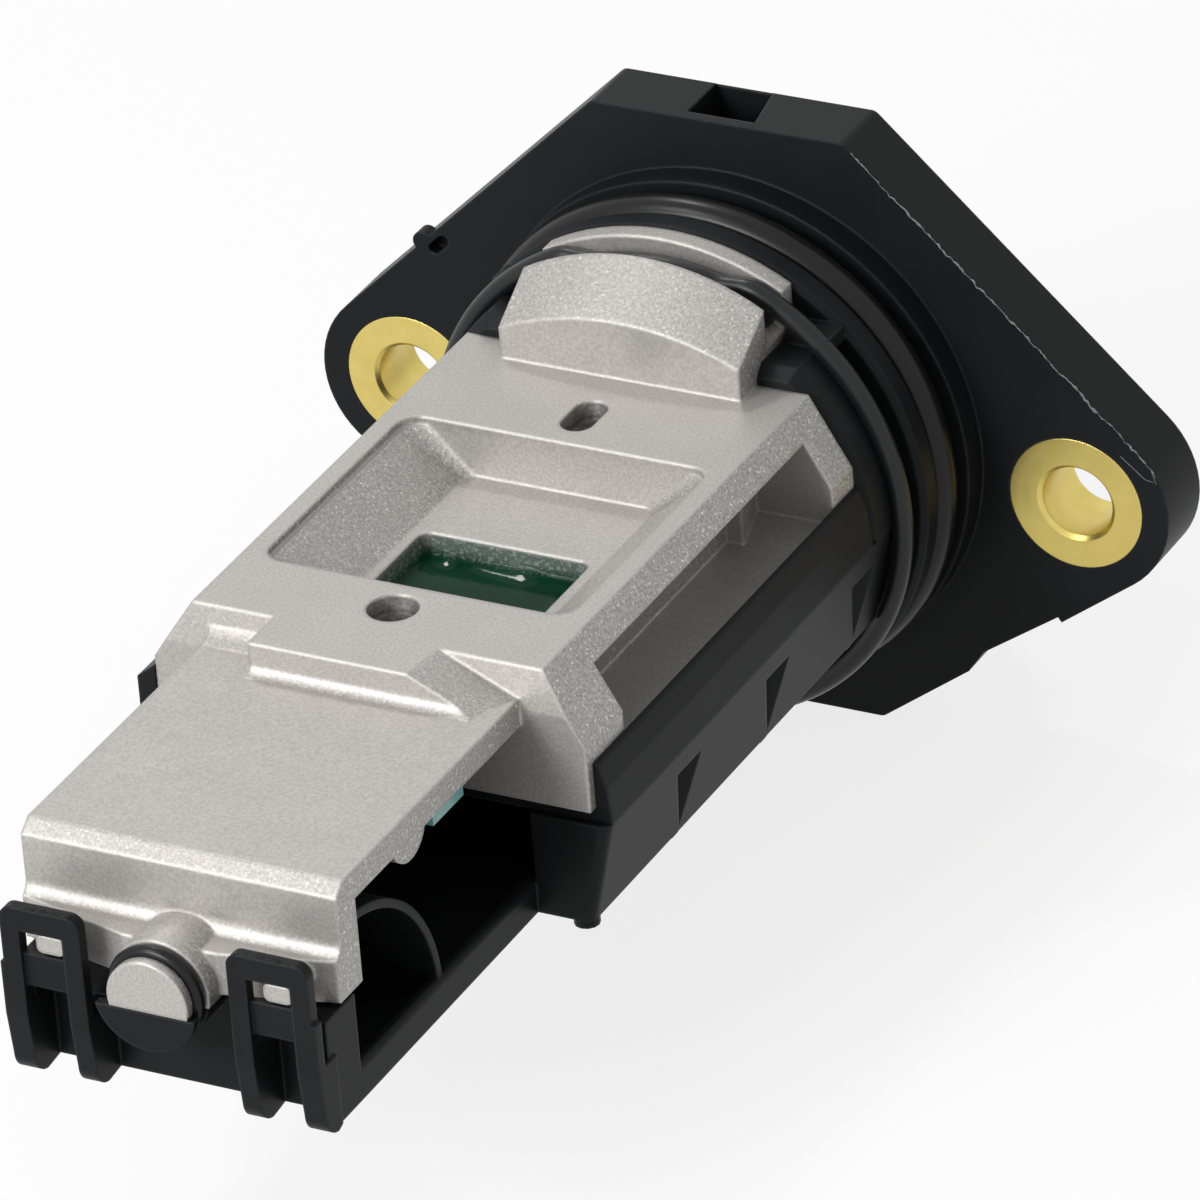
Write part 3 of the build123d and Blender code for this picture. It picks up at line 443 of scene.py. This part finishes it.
@dataclass(frozen=True)
class TurnedBrass:
    """Free-cutting brass, faced and bored on a lathe.

    Fine rings run round the bore, and the cut metal is a clean greenish yellow. The rings are drawn wider
    than the lathe's feed, which is too fine to show.
    """

    centre_x: float
    name: str = "free-cutting brass, turned"
    face: str = "#e3cf7d"
    dull: str = "#cdb966"
    roughness: float = 0.34
    ring_mm: float = 0.16
    stain_mm: float = 2.0
    edge_mm: float = 0.12
    bump: float = 0.18
    bump_mm: float = 0.01
    centre_z: float = BUSH_Z

    def material(self) -> bpy.types.Material:
        """Builds the node material.

        Returns:
            The material.
        """
        material, tree = new_tree(f"{self.name} at {self.centre_x:+.0f}")
        spot = add_node(tree, "ShaderNodeTexCoord").outputs["Object"]
        centred = add_node(
            tree, "ShaderNodeMapping",
            {"Vector": spot, "Location": (-self.centre_x * MM, 0, -self.centre_z * MM)},
        )
        # a wave texture has a ring every twentieth of its scale
        rings = add_node(
            tree, "ShaderNodeTexWave",
            {
                "Vector": centred.outputs[0],
                "Scale": per_mm(self.ring_mm) / 20,
                "Distortion": 0.3,
                "Detail": 2.0,
            },
            wave_type="RINGS", rings_direction="Y",
        )
        stain = add_node(
            tree, "ShaderNodeTexNoise", {"Vector": spot, "Scale": per_mm(self.stain_mm), "Detail": 3.0}
        )
        colour = add_node(tree, "ShaderNodeMix", {"Factor": stain.outputs["Fac"]}, data_type="RGBA")
        set_rgba(colour, linear(self.dull), linear(self.face))
        soft = add_node(tree, "ShaderNodeBevel", {"Radius": self.edge_mm * MM}, samples=4)
        bump = add_node(
            tree, "ShaderNodeBump",
            {
                "Strength": self.bump,
                "Distance": self.bump_mm * MM,
                "Height": rings.outputs["Fac"],
                "Normal": soft.outputs["Normal"],
            },
        )
        shader = add_node(
            tree, "ShaderNodeBsdfPrincipled",
            {
                "Base Color": colour.outputs[2],
                "Metallic": 1.0,
                "Roughness": self.roughness,
                "Normal": bump.outputs["Normal"],
            },
        )
        add_node(tree, "ShaderNodeOutputMaterial", {"Surface": shader.outputs[0]})
        return material


@dataclass(frozen=True)
class PlainFinish:
    """A finish of one colour with a fine mottle and bump, for the small sealed pieces.

    It does for nitrile rubber, glazed ceramic, moulded epoxy, solder resist, tinned copper, plastic flash and
    the dark skin of painted shade in the holes, which differ only in colour, gloss and grain. The grain is
    drawn as coarse as it needs to show.
    """

    name: str
    low: str
    high: str
    roughness: float
    grain_mm: float
    metallic: float = 0.0
    ior: float = 1.5
    coat: float = 0.0
    coat_roughness: float = 0.04
    bump: float = 0.15
    bump_mm: float = 0.02
    level: float = 0.5

    def material(self) -> bpy.types.Material:
        """Builds the node material.

        Returns:
            The material.
        """
        material, tree = new_tree(self.name)
        spot = add_node(tree, "ShaderNodeTexCoord").outputs["Object"]
        grain = add_node(
            tree, "ShaderNodeTexNoise", {"Vector": spot, "Scale": per_mm(self.grain_mm), "Detail": 3.0}
        )
        colour = add_node(tree, "ShaderNodeMix", {"Factor": grain.outputs["Fac"]}, data_type="RGBA")
        set_rgba(colour, linear(self.low), linear(self.high))
        bump = add_node(
            tree, "ShaderNodeBump",
            {"Strength": self.bump, "Distance": self.bump_mm * MM, "Height": grain.outputs["Fac"]},
        )
        shader = add_node(
            tree, "ShaderNodeBsdfPrincipled",
            {
                "Base Color": colour.outputs[2],
                "Metallic": self.metallic,
                "Roughness": self.roughness,
                "IOR": self.ior,
                "Specular IOR Level": self.level,
                "Coat Weight": self.coat,
                "Coat Roughness": self.coat_roughness,
                "Normal": bump.outputs["Normal"],
            },
        )
        add_node(tree, "ShaderNodeOutputMaterial", {"Surface": shader.outputs[0]})
        return material


NITRILE = PlainFinish("nitrile rubber, moulded", "#0f0f10", "#161617", 0.3, 0.3, level=0.24)
SOLDER_RESIST = PlainFinish("epoxy board, green solder resist", "#0f4a34", "#176045", 0.3, 1.2)
PRINTED_CERAMIC = PlainFinish("glazed alumina, printed film", "#4f8384", "#6fa2a2", 0.22, 0.8, coat=0.3)
CHIP_EPOXY = PlainFinish("moulded epoxy, matt black", "#18181a", "#202022", 0.6, 0.2)
CAPACITOR_CERAMIC = PlainFinish("barium titanate, fired", "#8d6b4b", "#a37f5c", 0.45, 0.3)
TINNED_COPPER = PlainFinish("tinned copper strip", "#b9b6ae", "#cfccc4", 0.28, 0.5, metallic=1.0)
# plastic stretched thin, which turns pale
FLASH = PlainFinish("plastic flash, stretched pale", "#5d5e60", "#8b8c8e", 0.5, 0.4, level=0.2)
# painted shade: a dark, grainy skin standing for the shade down the blind holes
HOLE_SHADE = PlainFinish(
    "dark skin, painted shade in a blind hole", "#141312", "#827e7a", 0.55, 0.3, metallic=0.4, bump=0.8
)


@dataclass(frozen=True)
class WettedGel:
    """Silicone gel, clear over green board.

    Deep gel looks a dark bottle green, and a livelier green towards the near rim. Where it has crept up the
    window's walls it is a thin film, so the grey metal shows through, and the whole stays wet and glossy.
    The creep's grain is drawn as coarse as the casting's.
    """

    name: str = "silicone gel, poured over the board"
    deep: str = "#04261a"
    lit: str = "#0a3d2a"
    near_rim_green: str = "#17523b"
    film: str = "#59645f"
    speck: str = "#a4ada8"
    film_from: float = 5.9
    film_top: float = 6.5
    film_ragged: float = 0.4
    brim_from: float = -39.5
    brim_full: float = -42.4
    cloud_mm: float = 3.0
    grain_mm: float = 0.24
    speck_from: float = 0.5
    speck_full: float = 0.85
    roughness: float = 0.06
    ior: float = 1.41
    gloss: float = 0.09
    bump: float = 0.06
    bump_mm: float = 0.02

    def material(self) -> bpy.types.Material:
        """Builds the node material.

        The film's colour sets in between the heights film_from and film_top, and the near rim's livelier
        green along Y between brim_from and brim_full.

        Returns:
            The material.
        """
        material, tree = new_tree(self.name)
        spot = add_node(tree, "ShaderNodeTexCoord").outputs["Object"]
        cloud = add_node(
            tree, "ShaderNodeTexNoise", {"Vector": spot, "Scale": per_mm(self.cloud_mm), "Detail": 2.0}
        )
        grain = add_node(
            tree, "ShaderNodeTexNoise", {"Vector": spot, "Scale": per_mm(self.grain_mm), "Detail": 4.0}
        )
        pool = add_node(tree, "ShaderNodeMix", {"Factor": cloud.outputs["Fac"]}, data_type="RGBA")
        set_rgba(pool, linear(self.deep), linear(self.lit))
        flake = add_node(
            tree, "ShaderNodeMapRange",
            {"Value": grain.outputs["Fac"], "From Min": self.speck_from, "From Max": self.speck_full},
        )
        metal = add_node(tree, "ShaderNodeMix", {"Factor": flake.outputs[0]}, data_type="RGBA")
        set_rgba(metal, linear(self.film), linear(self.speck))
        parts = add_node(tree, "ShaderNodeSeparateXYZ", {0: spot})
        ragged = add_node(
            tree, "ShaderNodeMath",
            {0: grain.outputs["Fac"], 1: self.film_ragged * MM, 2: parts.outputs["Z"]},
            operation="MULTIPLY_ADD",
        )
        rise = add_node(
            tree, "ShaderNodeMapRange",
            {"Value": ragged.outputs[0], "From Min": self.film_from * MM, "From Max": self.film_top * MM},
        )
        # the gel turns a livelier green towards the near rim, set by Y alone
        brim = add_node(
            tree, "ShaderNodeMapRange",
            {"Value": parts.outputs["Y"], "From Min": self.brim_from * MM, "From Max": self.brim_full * MM},
        )
        graded = add_node(tree, "ShaderNodeMix", {"Factor": brim.outputs[0]}, data_type="RGBA")
        set_rgba(graded, pool.outputs[2], linear(self.near_rim_green))
        colour = add_node(tree, "ShaderNodeMix", {"Factor": rise.outputs[0]}, data_type="RGBA")
        set_rgba(colour, graded.outputs[2], metal.outputs[2])
        bump = add_node(
            tree, "ShaderNodeBump",
            {"Strength": self.bump, "Distance": self.bump_mm * MM, "Height": grain.outputs["Fac"]},
        )
        shader = add_node(
            tree, "ShaderNodeBsdfPrincipled",
            {
                "Base Color": colour.outputs[2],
                "Roughness": self.roughness,
                "IOR": self.ior,
                "Specular IOR Level": self.gloss,
                "Normal": bump.outputs["Normal"],
            },
        )
        add_node(tree, "ShaderNodeOutputMaterial", {"Surface": shader.outputs[0]})
        return material


# Sub-assemblies


@dataclass(frozen=True)
class Ring:
    """A round cord bent to a ring. Lengths are in millimetres and angles, from the top, in degrees."""

    name: str
    radius: float
    cord: float
    y: float
    z: float = 0.0
    dip: float = 0.0
    dip_from: float = 15.0
    dip_to: float = 25.5
    steps: int = 240
    sides: int = 24

    def build(self, finish: bpy.types.Material, slot: Slot) -> bpy.types.Object:
        """Makes the cord's surface.

        A point at angle a round the ring and b round the cord lies at the distance radius + cord cos b from
        the axis, and cord sin b along it. Near the top the radius dips by a smooth step 3 t^2 - 2 t^3.

        Args:
            finish: Its material.
            slot: The record's slot for it; not used.

        Returns:
            The new object.
        """
        turn = np.linspace(-180, 180, self.steps, endpoint=False)
        a = np.radians(turn)
        b = np.linspace(0, 2 * np.pi, self.sides, endpoint=False)
        t = np.clip((self.dip_to - np.abs(turn)) / (self.dip_to - self.dip_from), 0, 1)
        radius = self.radius - self.dip * (3 * t**2 - 2 * t**3)
        reach = radius[:, None] + self.cord * np.cos(b)[None, :]
        along = np.broadcast_to(self.y + self.cord * np.sin(b)[None, :], (len(a), len(b)))
        points = np.stack([reach * np.sin(a)[:, None], along, self.z + reach * np.cos(a)[:, None]], -1)
        faces = grid_faces(len(a), self.sides, closed=True)
        last = np.arange(self.sides)
        row = (len(a) - 1) * self.sides
        seam = np.stack([row + last, row + (last + 1) % self.sides, (last + 1) % self.sides, last], -1)
        faces = np.concatenate([faces, seam])[:, ::-1]
        return piece_from(self.name, points.reshape(-1, 3), faces, finish)


@dataclass(frozen=True)
class Fin:
    """A thin ragged fin of plastic along a line across the probe's axis, at the place y on it.

    Points are x and z, and all lengths are in millimetres.
    """

    name: str
    path: tuple[tuple[float, float], ...]
    reach: float
    ragged: float
    seed: int
    y: float = 0.0
    thick: float = 0.05
    step: float = 0.12
    narrowest: float = 0.15
    widest: float = 2.8
    end: float = 0.05
    sway: float = 0.0
    sway_steps: int = 11

    def build(self, finish: bpy.types.Material) -> bpy.types.Object:
        """Makes the fin as a closed strip.

        Its width at the distance s along the path is reach (1 + ragged r), where r is seeded noise smoothed
        over three steps, and its section is a flat lozenge. It strays inwards from the path by sway |d|,
        where d is noise smoothed over sway_steps steps. Both ends are closed.

        Args:
            finish: Its material.

        Returns:
            The new object.
        """
        path = np.array(self.path)
        run = np.concatenate([[0], np.cumsum(np.hypot(*np.diff(path, axis=0).T))])
        s = np.arange(0, run[-1], self.step)
        x, z = np.interp(s, run, path[:, 0]), np.interp(s, run, path[:, 1])
        tangent = np.gradient(np.stack([x, z], -1), axis=0)
        tangent /= np.linalg.norm(tangent, axis=1)[:, None]
        out = np.stack([-tangent[:, 1], tangent[:, 0]], -1)
        rng = np.random.default_rng(self.seed)
        r = np.convolve(rng.normal(size=len(s) + 2), np.ones(3) / 3, mode="valid")
        span = np.ones(self.sway_steps) / math.sqrt(self.sway_steps)
        drift = np.abs(np.convolve(rng.normal(size=len(s) + self.sway_steps - 1), span, mode="valid"))
        x, z = x - self.sway * drift * out[:, 0], z - self.sway * drift * out[:, 1]
        width = self.reach * np.clip(1 + self.ragged * r, self.narrowest, self.widest)
        width[[0, -1]] = self.reach * self.end
        sections = []
        for side, lift in ((-1.0, 0.0), (0.0, -self.thick), (1.0, 0.0), (0.0, self.thick)):
            across = side * width
            height = np.full_like(x, self.y + lift)
            sections.append(np.stack([x + across * out[:, 0], height, z + across * out[:, 1]], -1))
        points = np.stack(sections, 1)
        corner = np.arange(4)
        ends = np.stack([corner, 4 * len(s) - 1 - corner])
        faces = np.concatenate([grid_faces(len(s), 4, closed=True)[:, ::-1], ends])
        return piece_from(self.name, points.reshape(-1, 3), faces, finish)


def edge_path() -> tuple[tuple[float, float], ...]:
    """The flange's right upper edge: straight from its top corner, then round the right bush's boss.

    Returns:
        Its points as x and z in millimetres. The round stretch is centre + radius (cos t, sin t).
    """
    turns = np.radians(np.linspace(EDGE_FROM, EDGE_TO, EDGE_STEPS))
    arc = [(BUSH_X + FLANGE_END_R * math.cos(t), BUSH_Z + FLANGE_END_R * math.sin(t)) for t in turns]
    return (EDGE_TOP, *arc)


def dress(node: str, finish: bpy.types.Material) -> None:
    """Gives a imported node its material.

    Args:
        node: The node's name.
        finish: Its material.
    """
    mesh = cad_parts[node].data
    mesh.materials.clear()
    mesh.materials.append(finish)
    LOG.info("node %s: %s", node, finish.name)


@dataclass
class SealedHousing:
    """The moulded housing with its brass bushes, ring seals and leads.

    The burrs run along the heads of the cover's clips. Their places are in millimetres.
    """

    lead_count: int = 5
    burr_inner: float = 6.0
    burr_outer: float = 10.7
    burr_y: float = -83.3
    burr_z: float = 5.17

    def build(self) -> None:
        """Dresses the nodes and adds the rings, the bead, the flash, the scuffs and the burrs."""
        plastic = GlassFilledPlastic().material()
        rubber = NITRILE.material()
        tin = TINNED_COPPER.material()
        dress("housing", plastic)
        dress("channel_cover", plastic)
        main_ring = Ring("main_ring", radius=17.5, cord=1.4, y=-4.1)
        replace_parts(main_ring.build(rubber, Slot.SEAL_RUBBER), "spigot_seal")
        tip_ring = Ring("tip_ring", radius=3.0, cord=0.5, y=-83.5, z=1.0, steps=96, sides=16)
        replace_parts(tip_ring.build(rubber, Slot.SEAL_RUBBER), "pin_seal")
        glossy = GlassFilledPlastic(
            "glass-filled polyester, glossy from the die", roughness=0.3, level=0.32
        ).material()
        Ring("bead", radius=17.7, cord=0.76, y=-10.05, dip=1.0).build(glossy, Slot.MOULDING)
        pale = FLASH.material()
        long_scuff = ((29.6, 2.1), (31.4, 0.6), (32.1, 0.5))
        short_scuff = ((31.9, 1.4), (32.25, 0.3))
        Fin("edge_flash", edge_path(), reach=0.065, ragged=1.3, seed=7, sway=0.11).build(pale)
        Fin("scuff_long", long_scuff, reach=0.025, ragged=0.6, seed=11).build(pale)
        Fin("scuff_short", short_scuff, reach=0.02, ragged=0.5, seed=13).build(pale)
        for name, side, seed in (("clip_burr_right", 1, 17), ("clip_burr_left", -1, 19)):
            crest = ((self.burr_inner * side, self.burr_z), (self.burr_outer * side, self.burr_z))
            burr = Fin(name, crest, reach=0.12, ragged=1.1, seed=seed, y=self.burr_y, thick=0.24, step=0.16)
            burr.build(plastic)
        dress("bush_right", TurnedBrass(BUSH_X).material())
        dress("bush_left", TurnedBrass(-BUSH_X).material())
        for number in range(1, self.lead_count + 1):
            dress(f"terminal_{number}", tin)


@dataclass
class Circuit:
    """The board, its parts, the sensing strip and the gel poured over them.

    Lengths are in millimetres, and ramp and lobe are slopes. The lobe and the drop are two swellings at the
    foot of the far wall, which catch the light as a long streak and a spot.
    """

    gel_level: float = 5.46
    gel_rise: float = 1.5
    creep: float = 0.12
    ramp: float = 0.12
    ramp_reach: float = 1.5
    ramp_foot: float = 0.15
    lobe: float = 0.19
    lobe_x: float = -0.1
    lobe_half: float = 2.6
    lobe_slant: float = 0.16
    drop_x: float = -4.3
    drop_half: float = 0.6
    gel_half: float = 6.4
    gel_near: float = -42.45
    gel_far: float = -33.65
    gel_floor: float = 5.41
    gel_steps: int = 61

    def build(self) -> None:
        """Dresses the electronic nodes and pours the gel."""
        dress("circuit_board", SOLDER_RESIST.material())
        dress("control_chip", CHIP_EPOXY.material())
        ceramic = CAPACITOR_CERAMIC.material()
        dress("capacitor_near", ceramic)
        dress("capacitor_far", ceramic)
        dress("sensor_strip", PRINTED_CERAMIC.material())
        gel = self.pour_gel(WettedGel().material())
        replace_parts(gel, "gel")

    def pour_gel(self, finish: bpy.types.Material) -> bpy.types.Object:
        """Makes the gel with its meniscus.

        Its top is the level, plus a thin film that dies away from the nearest wall as exp(-d / creep), plus
        a ramp up to each wall of ramp (ramp_reach - d), softly rounded at its foot. The far wall's slope
        swells by lobe exp(-((x - c) / h)^6), or ^4 for the short one, at two places c of half width h, and
        starts further out by slant (x - c). The grid's rim is carried down to the floor and closed.

        Args:
            finish: The gel's material.

        Returns:
            The new object.
        """
        u = np.linspace(-1, 1, self.gel_steps)
        x = self.gel_half * np.sin(u * np.pi / 2)
        middle, reach = (self.gel_near + self.gel_far) / 2, (self.gel_far - self.gel_near) / 2
        y = middle + reach * np.sin(u * np.pi / 2)
        gx, gy = np.meshgrid(x, y, indexing="ij")
        wall_x = self.gel_half - np.abs(gx)
        wall_y = reach - np.abs(gy - middle)
        near_wall = np.minimum(wall_x, wall_y)
        film = self.gel_rise * np.exp(-near_wall / self.creep)
        foot = self.ramp_foot
        bowl = self.ramp * foot * np.logaddexp(0, (self.ramp_reach - near_wall) / foot)
        long_swell = np.exp(-(((gx - self.lobe_x) / self.lobe_half) ** 6))
        short_swell = np.exp(-(((gx - self.drop_x) / self.drop_half) ** 4))
        far_wall = np.where(gy > middle, wall_y, 4 * self.ramp_reach)
        start = self.ramp_reach + self.lobe_slant * (gx - self.lobe_x) * long_swell
        swell = self.lobe * (long_swell + short_swell) * foot * np.logaddexp(0, (start - far_wall) / foot)
        gz = self.gel_level + np.minimum(film + bowl + swell, self.gel_rise)
        top = np.stack([gx, gy, gz], -1)
        n = len(u)
        number = np.arange(n * n).reshape(n, n)
        rim = np.concatenate([number[:-1, 0], number[-1, :-1], number[:0:-1, -1], number[0, :0:-1]])
        low = top.reshape(-1, 3)[rim].copy()
        low[:, 2] = self.gel_floor
        points = np.concatenate([top.reshape(-1, 3), low])
        lower = n * n + np.arange(len(rim))
        sides = np.stack([rim, lower, np.roll(lower, -1), np.roll(rim, -1)], -1)
        faces = [*grid_faces(n, n)[:, ::-1].tolist(), *sides.tolist(), lower[::-1].tolist()]
        return piece_from("gel_pool", points, faces, finish)


@dataclass(frozen=True)
class Cup:
    """A dark skin inside a blind hole or slot in the plate's top, painted shade for the hole's depth, a thin
    closed shell.

    Lengths are in millimetres.
    """

    name: str
    y: float
    radius: float
    half_run: float = 0.0
    top: float = 10.75
    floor: float = 9.55
    wall: float = 0.1
    curve: float = 0.2
    dish: float = 0.03
    eye: float = 0.02
    steps: int = 48

    def build(self, finish: bpy.types.Material) -> bpy.types.Object:
        """Makes the shell of wall and floor.

        The outline is a circle at angle a, (radius sin a, radius cos a), whose halves are drawn apart along
        Y by half_run. The rings start in the middle of the shell's underside, go out and up its hidden side,
        over the rim, down the wall and in to the middle of the floor. The small eye left at both ends is
        closed.

        Args:
            finish: Its material.

        Returns:
            The new object.
        """
        a = np.linspace(0, 2 * np.pi, self.steps, endpoint=False)
        x, y = self.radius * np.sin(a), self.radius * np.cos(a)
        outer = 1 + self.wall / self.radius
        under = self.floor - self.wall
        profile = (
            (self.eye, under),
            (outer, under),
            (outer, self.top),
            (1.0, self.top),
            (1.0, self.floor + self.curve),
            (0.9, self.floor),
            (0.5, self.floor - self.dish),
            (self.eye, self.floor),
        )
        rings = []
        for size, z in profile:
            rings.append(np.stack([size * x, self.y + size * y + np.sign(y) * self.half_run, z + 0 * x], -1))
        points = np.concatenate(rings)
        turn = np.arange(self.steps)
        last = (len(rings) - 1) * self.steps
        walls = grid_faces(len(rings), self.steps, closed=True)[:, ::-1]
        faces = [*walls.tolist(), turn.tolist(), (last + turn[::-1]).tolist()]
        return piece_from(self.name, points, faces, finish)


@dataclass
class ProbePlate:
    """The die-cast plate with its two dowel holes."""

    def build(self) -> None:
        """Dresses the plate and adds the dark skins of painted shade in its holes."""
        dress("base_plate", CastAluminium().material())
        # painted shade: dark skins down the dowel hole and the slot
        hole_shade = HOLE_SHADE.material()
        Cup("dowel_cup", y=-49.45, radius=1.76).build(hole_shade)
        Cup("slot_cup", y=-21.7, radius=1.16, half_run=1.0).build(hole_shade)


# Studio


@dataclass(frozen=True)
class Softbox:
    """One square studio lamp: where it stands, how wide and how strong it is, all in metres and watts."""

    name: str
    place: tuple[float, float, float]
    width: float
    power: float

    def build(self, target: Vector) -> None:
        """Hangs the lamp and turns it to the target.

        Args:
            target: The point that it looks at, in metres.
        """
        lamp = bpy.data.lights.new(self.name, "AREA")
        lamp.shape = "SQUARE"
        lamp.size = self.width
        lamp.energy = self.power
        holder = bpy.data.objects.new(self.name, lamp)
        holder.location = Vector(self.place)
        holder.rotation_euler = (target - holder.location).to_track_quat("-Z", "Y").to_euler()
        bpy.context.scene.collection.objects.link(holder)


@dataclass
class Studio:
    """White backdrop, pale floor and soft lamps. Lengths are in metres.

    The key lights the faces that look at the camera, the top lamp stands where the gel's swellings mirror
    it, and the bevel lamp where the bevels between top and front do.
    """

    floor_z: float = -0.0228
    floor_half: float = 1.5
    fill: float = 0.5
    glow: float = 0.8
    aim: tuple[float, float, float] = (0.0, -0.03, 0.0)
    lamps: tuple[Softbox, ...] = (
        Softbox("key", place=(-0.2, -0.62, 0.3), width=0.25, power=3.5),
        Softbox("top", place=(-0.306, 0.248, 0.602), width=0.065, power=0.75),
        Softbox("bevel", place=(-0.33, -0.41, 0.58), width=0.16, power=1.1),
    )

    def build(self) -> None:
        """Sets up the world, the floor and the lamps."""
        bpy.context.scene.view_settings.view_transform = "Standard"
        self.light_world()
        self.lay_floor()
        for lamp in self.lamps:
            lamp.build(Vector(self.aim))

    def white_rays(self, tree: bpy.types.NodeTree) -> bpy.types.NodeSocket:
        """A mask of 1 for rays that show the backdrop itself: camera, glossy and transmission rays.

        Args:
            tree: The tree that uses the mask.

        Returns:
            The mask's socket.
        """
        path = add_node(tree, "ShaderNodeLightPath")
        first = add_node(
            tree, "ShaderNodeMath",
            {0: path.outputs["Is Camera Ray"], 1: path.outputs["Is Glossy Ray"]}, operation="MAXIMUM",
        )
        both = add_node(
            tree, "ShaderNodeMath",
            {0: first.outputs[0], 1: path.outputs["Is Transmission Ray"]}, operation="MAXIMUM",
        )
        return both.outputs[0]

    def light_world(self) -> None:
        """A white world: full white to be seen, and dimmer as the light on the object."""
        world = bpy.data.worlds.new("studio")
        bpy.context.scene.world = world
        world.use_nodes = True
        tree = world.node_tree
        tree.nodes.clear()
        strength = add_node(
            tree, "ShaderNodeMapRange", {"Value": self.white_rays(tree), "To Min": self.fill, "To Max": 1.0}
        )
        sky = add_node(tree, "ShaderNodeBackground", {"Color": (1, 1, 1, 1), "Strength": strength.outputs[0]})
        add_node(tree, "ShaderNodeOutputWorld", {"Surface": sky.outputs[0]})

    def lay_floor(self) -> None:
        """A pale floor just under the part, which shows near white and keeps a light shadow."""
        half = self.floor_half
        corners = np.array([[-half, -half, 0], [half, -half, 0], [half, half, 0], [-half, half, 0]])
        corners[:, 2] = self.floor_z
        mesh = bpy.data.meshes.new("floor")
        mesh.from_pydata(corners.tolist(), [], [(0, 1, 2, 3)])
        material, tree = new_tree("paper sweep, white")
        paper = add_node(tree, "ShaderNodeBsdfDiffuse", {"Color": linear("#f2f2f2")})
        glow = add_node(tree, "ShaderNodeEmission", {"Color": (1, 1, 1, 1), "Strength": 1.0})
        share = add_node(
            tree, "ShaderNodeMapRange", {"Value": self.white_rays(tree), "To Max": self.glow}
        )
        mixed = add_node(
            tree, "ShaderNodeMixShader", {0: share.outputs[0], 1: paper.outputs[0], 2: glow.outputs[0]}
        )
        add_node(tree, "ShaderNodeOutputMaterial", {"Surface": mixed.outputs[0]})
        mesh.materials.append(material)
        floor = bpy.data.objects.new("floor", mesh)
        bpy.context.scene.collection.objects.link(floor)


@dataclass
class PhotoCamera:
    """The camera fitted to the photograph.

    Lengths are in millimetres and angles in degrees. The clips are in metres.
    """

    target: tuple[float, float, float] = (-6.128, -10.5, -10.809)
    distance: float = 775.97
    azimuth: float = 29.318
    elevation: float = 29.657
    roll: float = -4.571
    lens: float = 333.381
    sensor: float = 36.0
    shift_x: float = -0.00096
    shift_y: float = 0.00119
    clip_start: float = 0.05
    clip_end: float = 10.0

    def build(self) -> None:
        """Places the camera on its line of sight and turns it level, then by its roll.

        With the azimuth a and the elevation e, it stands back along (sin a cos e, -cos a cos e, sin e).
        """
        a, e = math.radians(self.azimuth), math.radians(self.elevation)
        back = Vector((math.sin(a) * math.cos(e), -math.cos(a) * math.cos(e), math.sin(e)))
        flat = Vector((math.cos(a), math.sin(a), 0.0))
        rise = back.cross(flat)
        turn = math.radians(self.roll)
        right = flat * math.cos(turn) + rise * math.sin(turn)
        up = rise * math.cos(turn) - flat * math.sin(turn)
        data = bpy.data.cameras.new("photo_camera")
        data.lens = self.lens
        data.sensor_width = self.sensor
        data.shift_x = self.shift_x
        data.shift_y = self.shift_y
        data.clip_start = self.clip_start
        data.clip_end = self.clip_end
        camera = bpy.data.objects.new("photo_camera", data)
        matrix = Matrix((right, up, back)).transposed().to_4x4()
        matrix.translation = (Vector(self.target) + back * self.distance) * MM
        camera.matrix_world = matrix
        bpy.context.scene.collection.objects.link(camera)
        bpy.context.scene.camera = camera


def main() -> None:
    """Builds the looks in order."""
    logging.basicConfig(level=logging.INFO, format="%(name)s: %(message)s")
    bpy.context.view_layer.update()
    for part in (SealedHousing(), ProbePlate(), Circuit()):
        part.build()
        LOG.info("built %s", type(part).__name__)
    Studio().build()
    PhotoCamera().build()


if __name__ == "__main__":
    main()
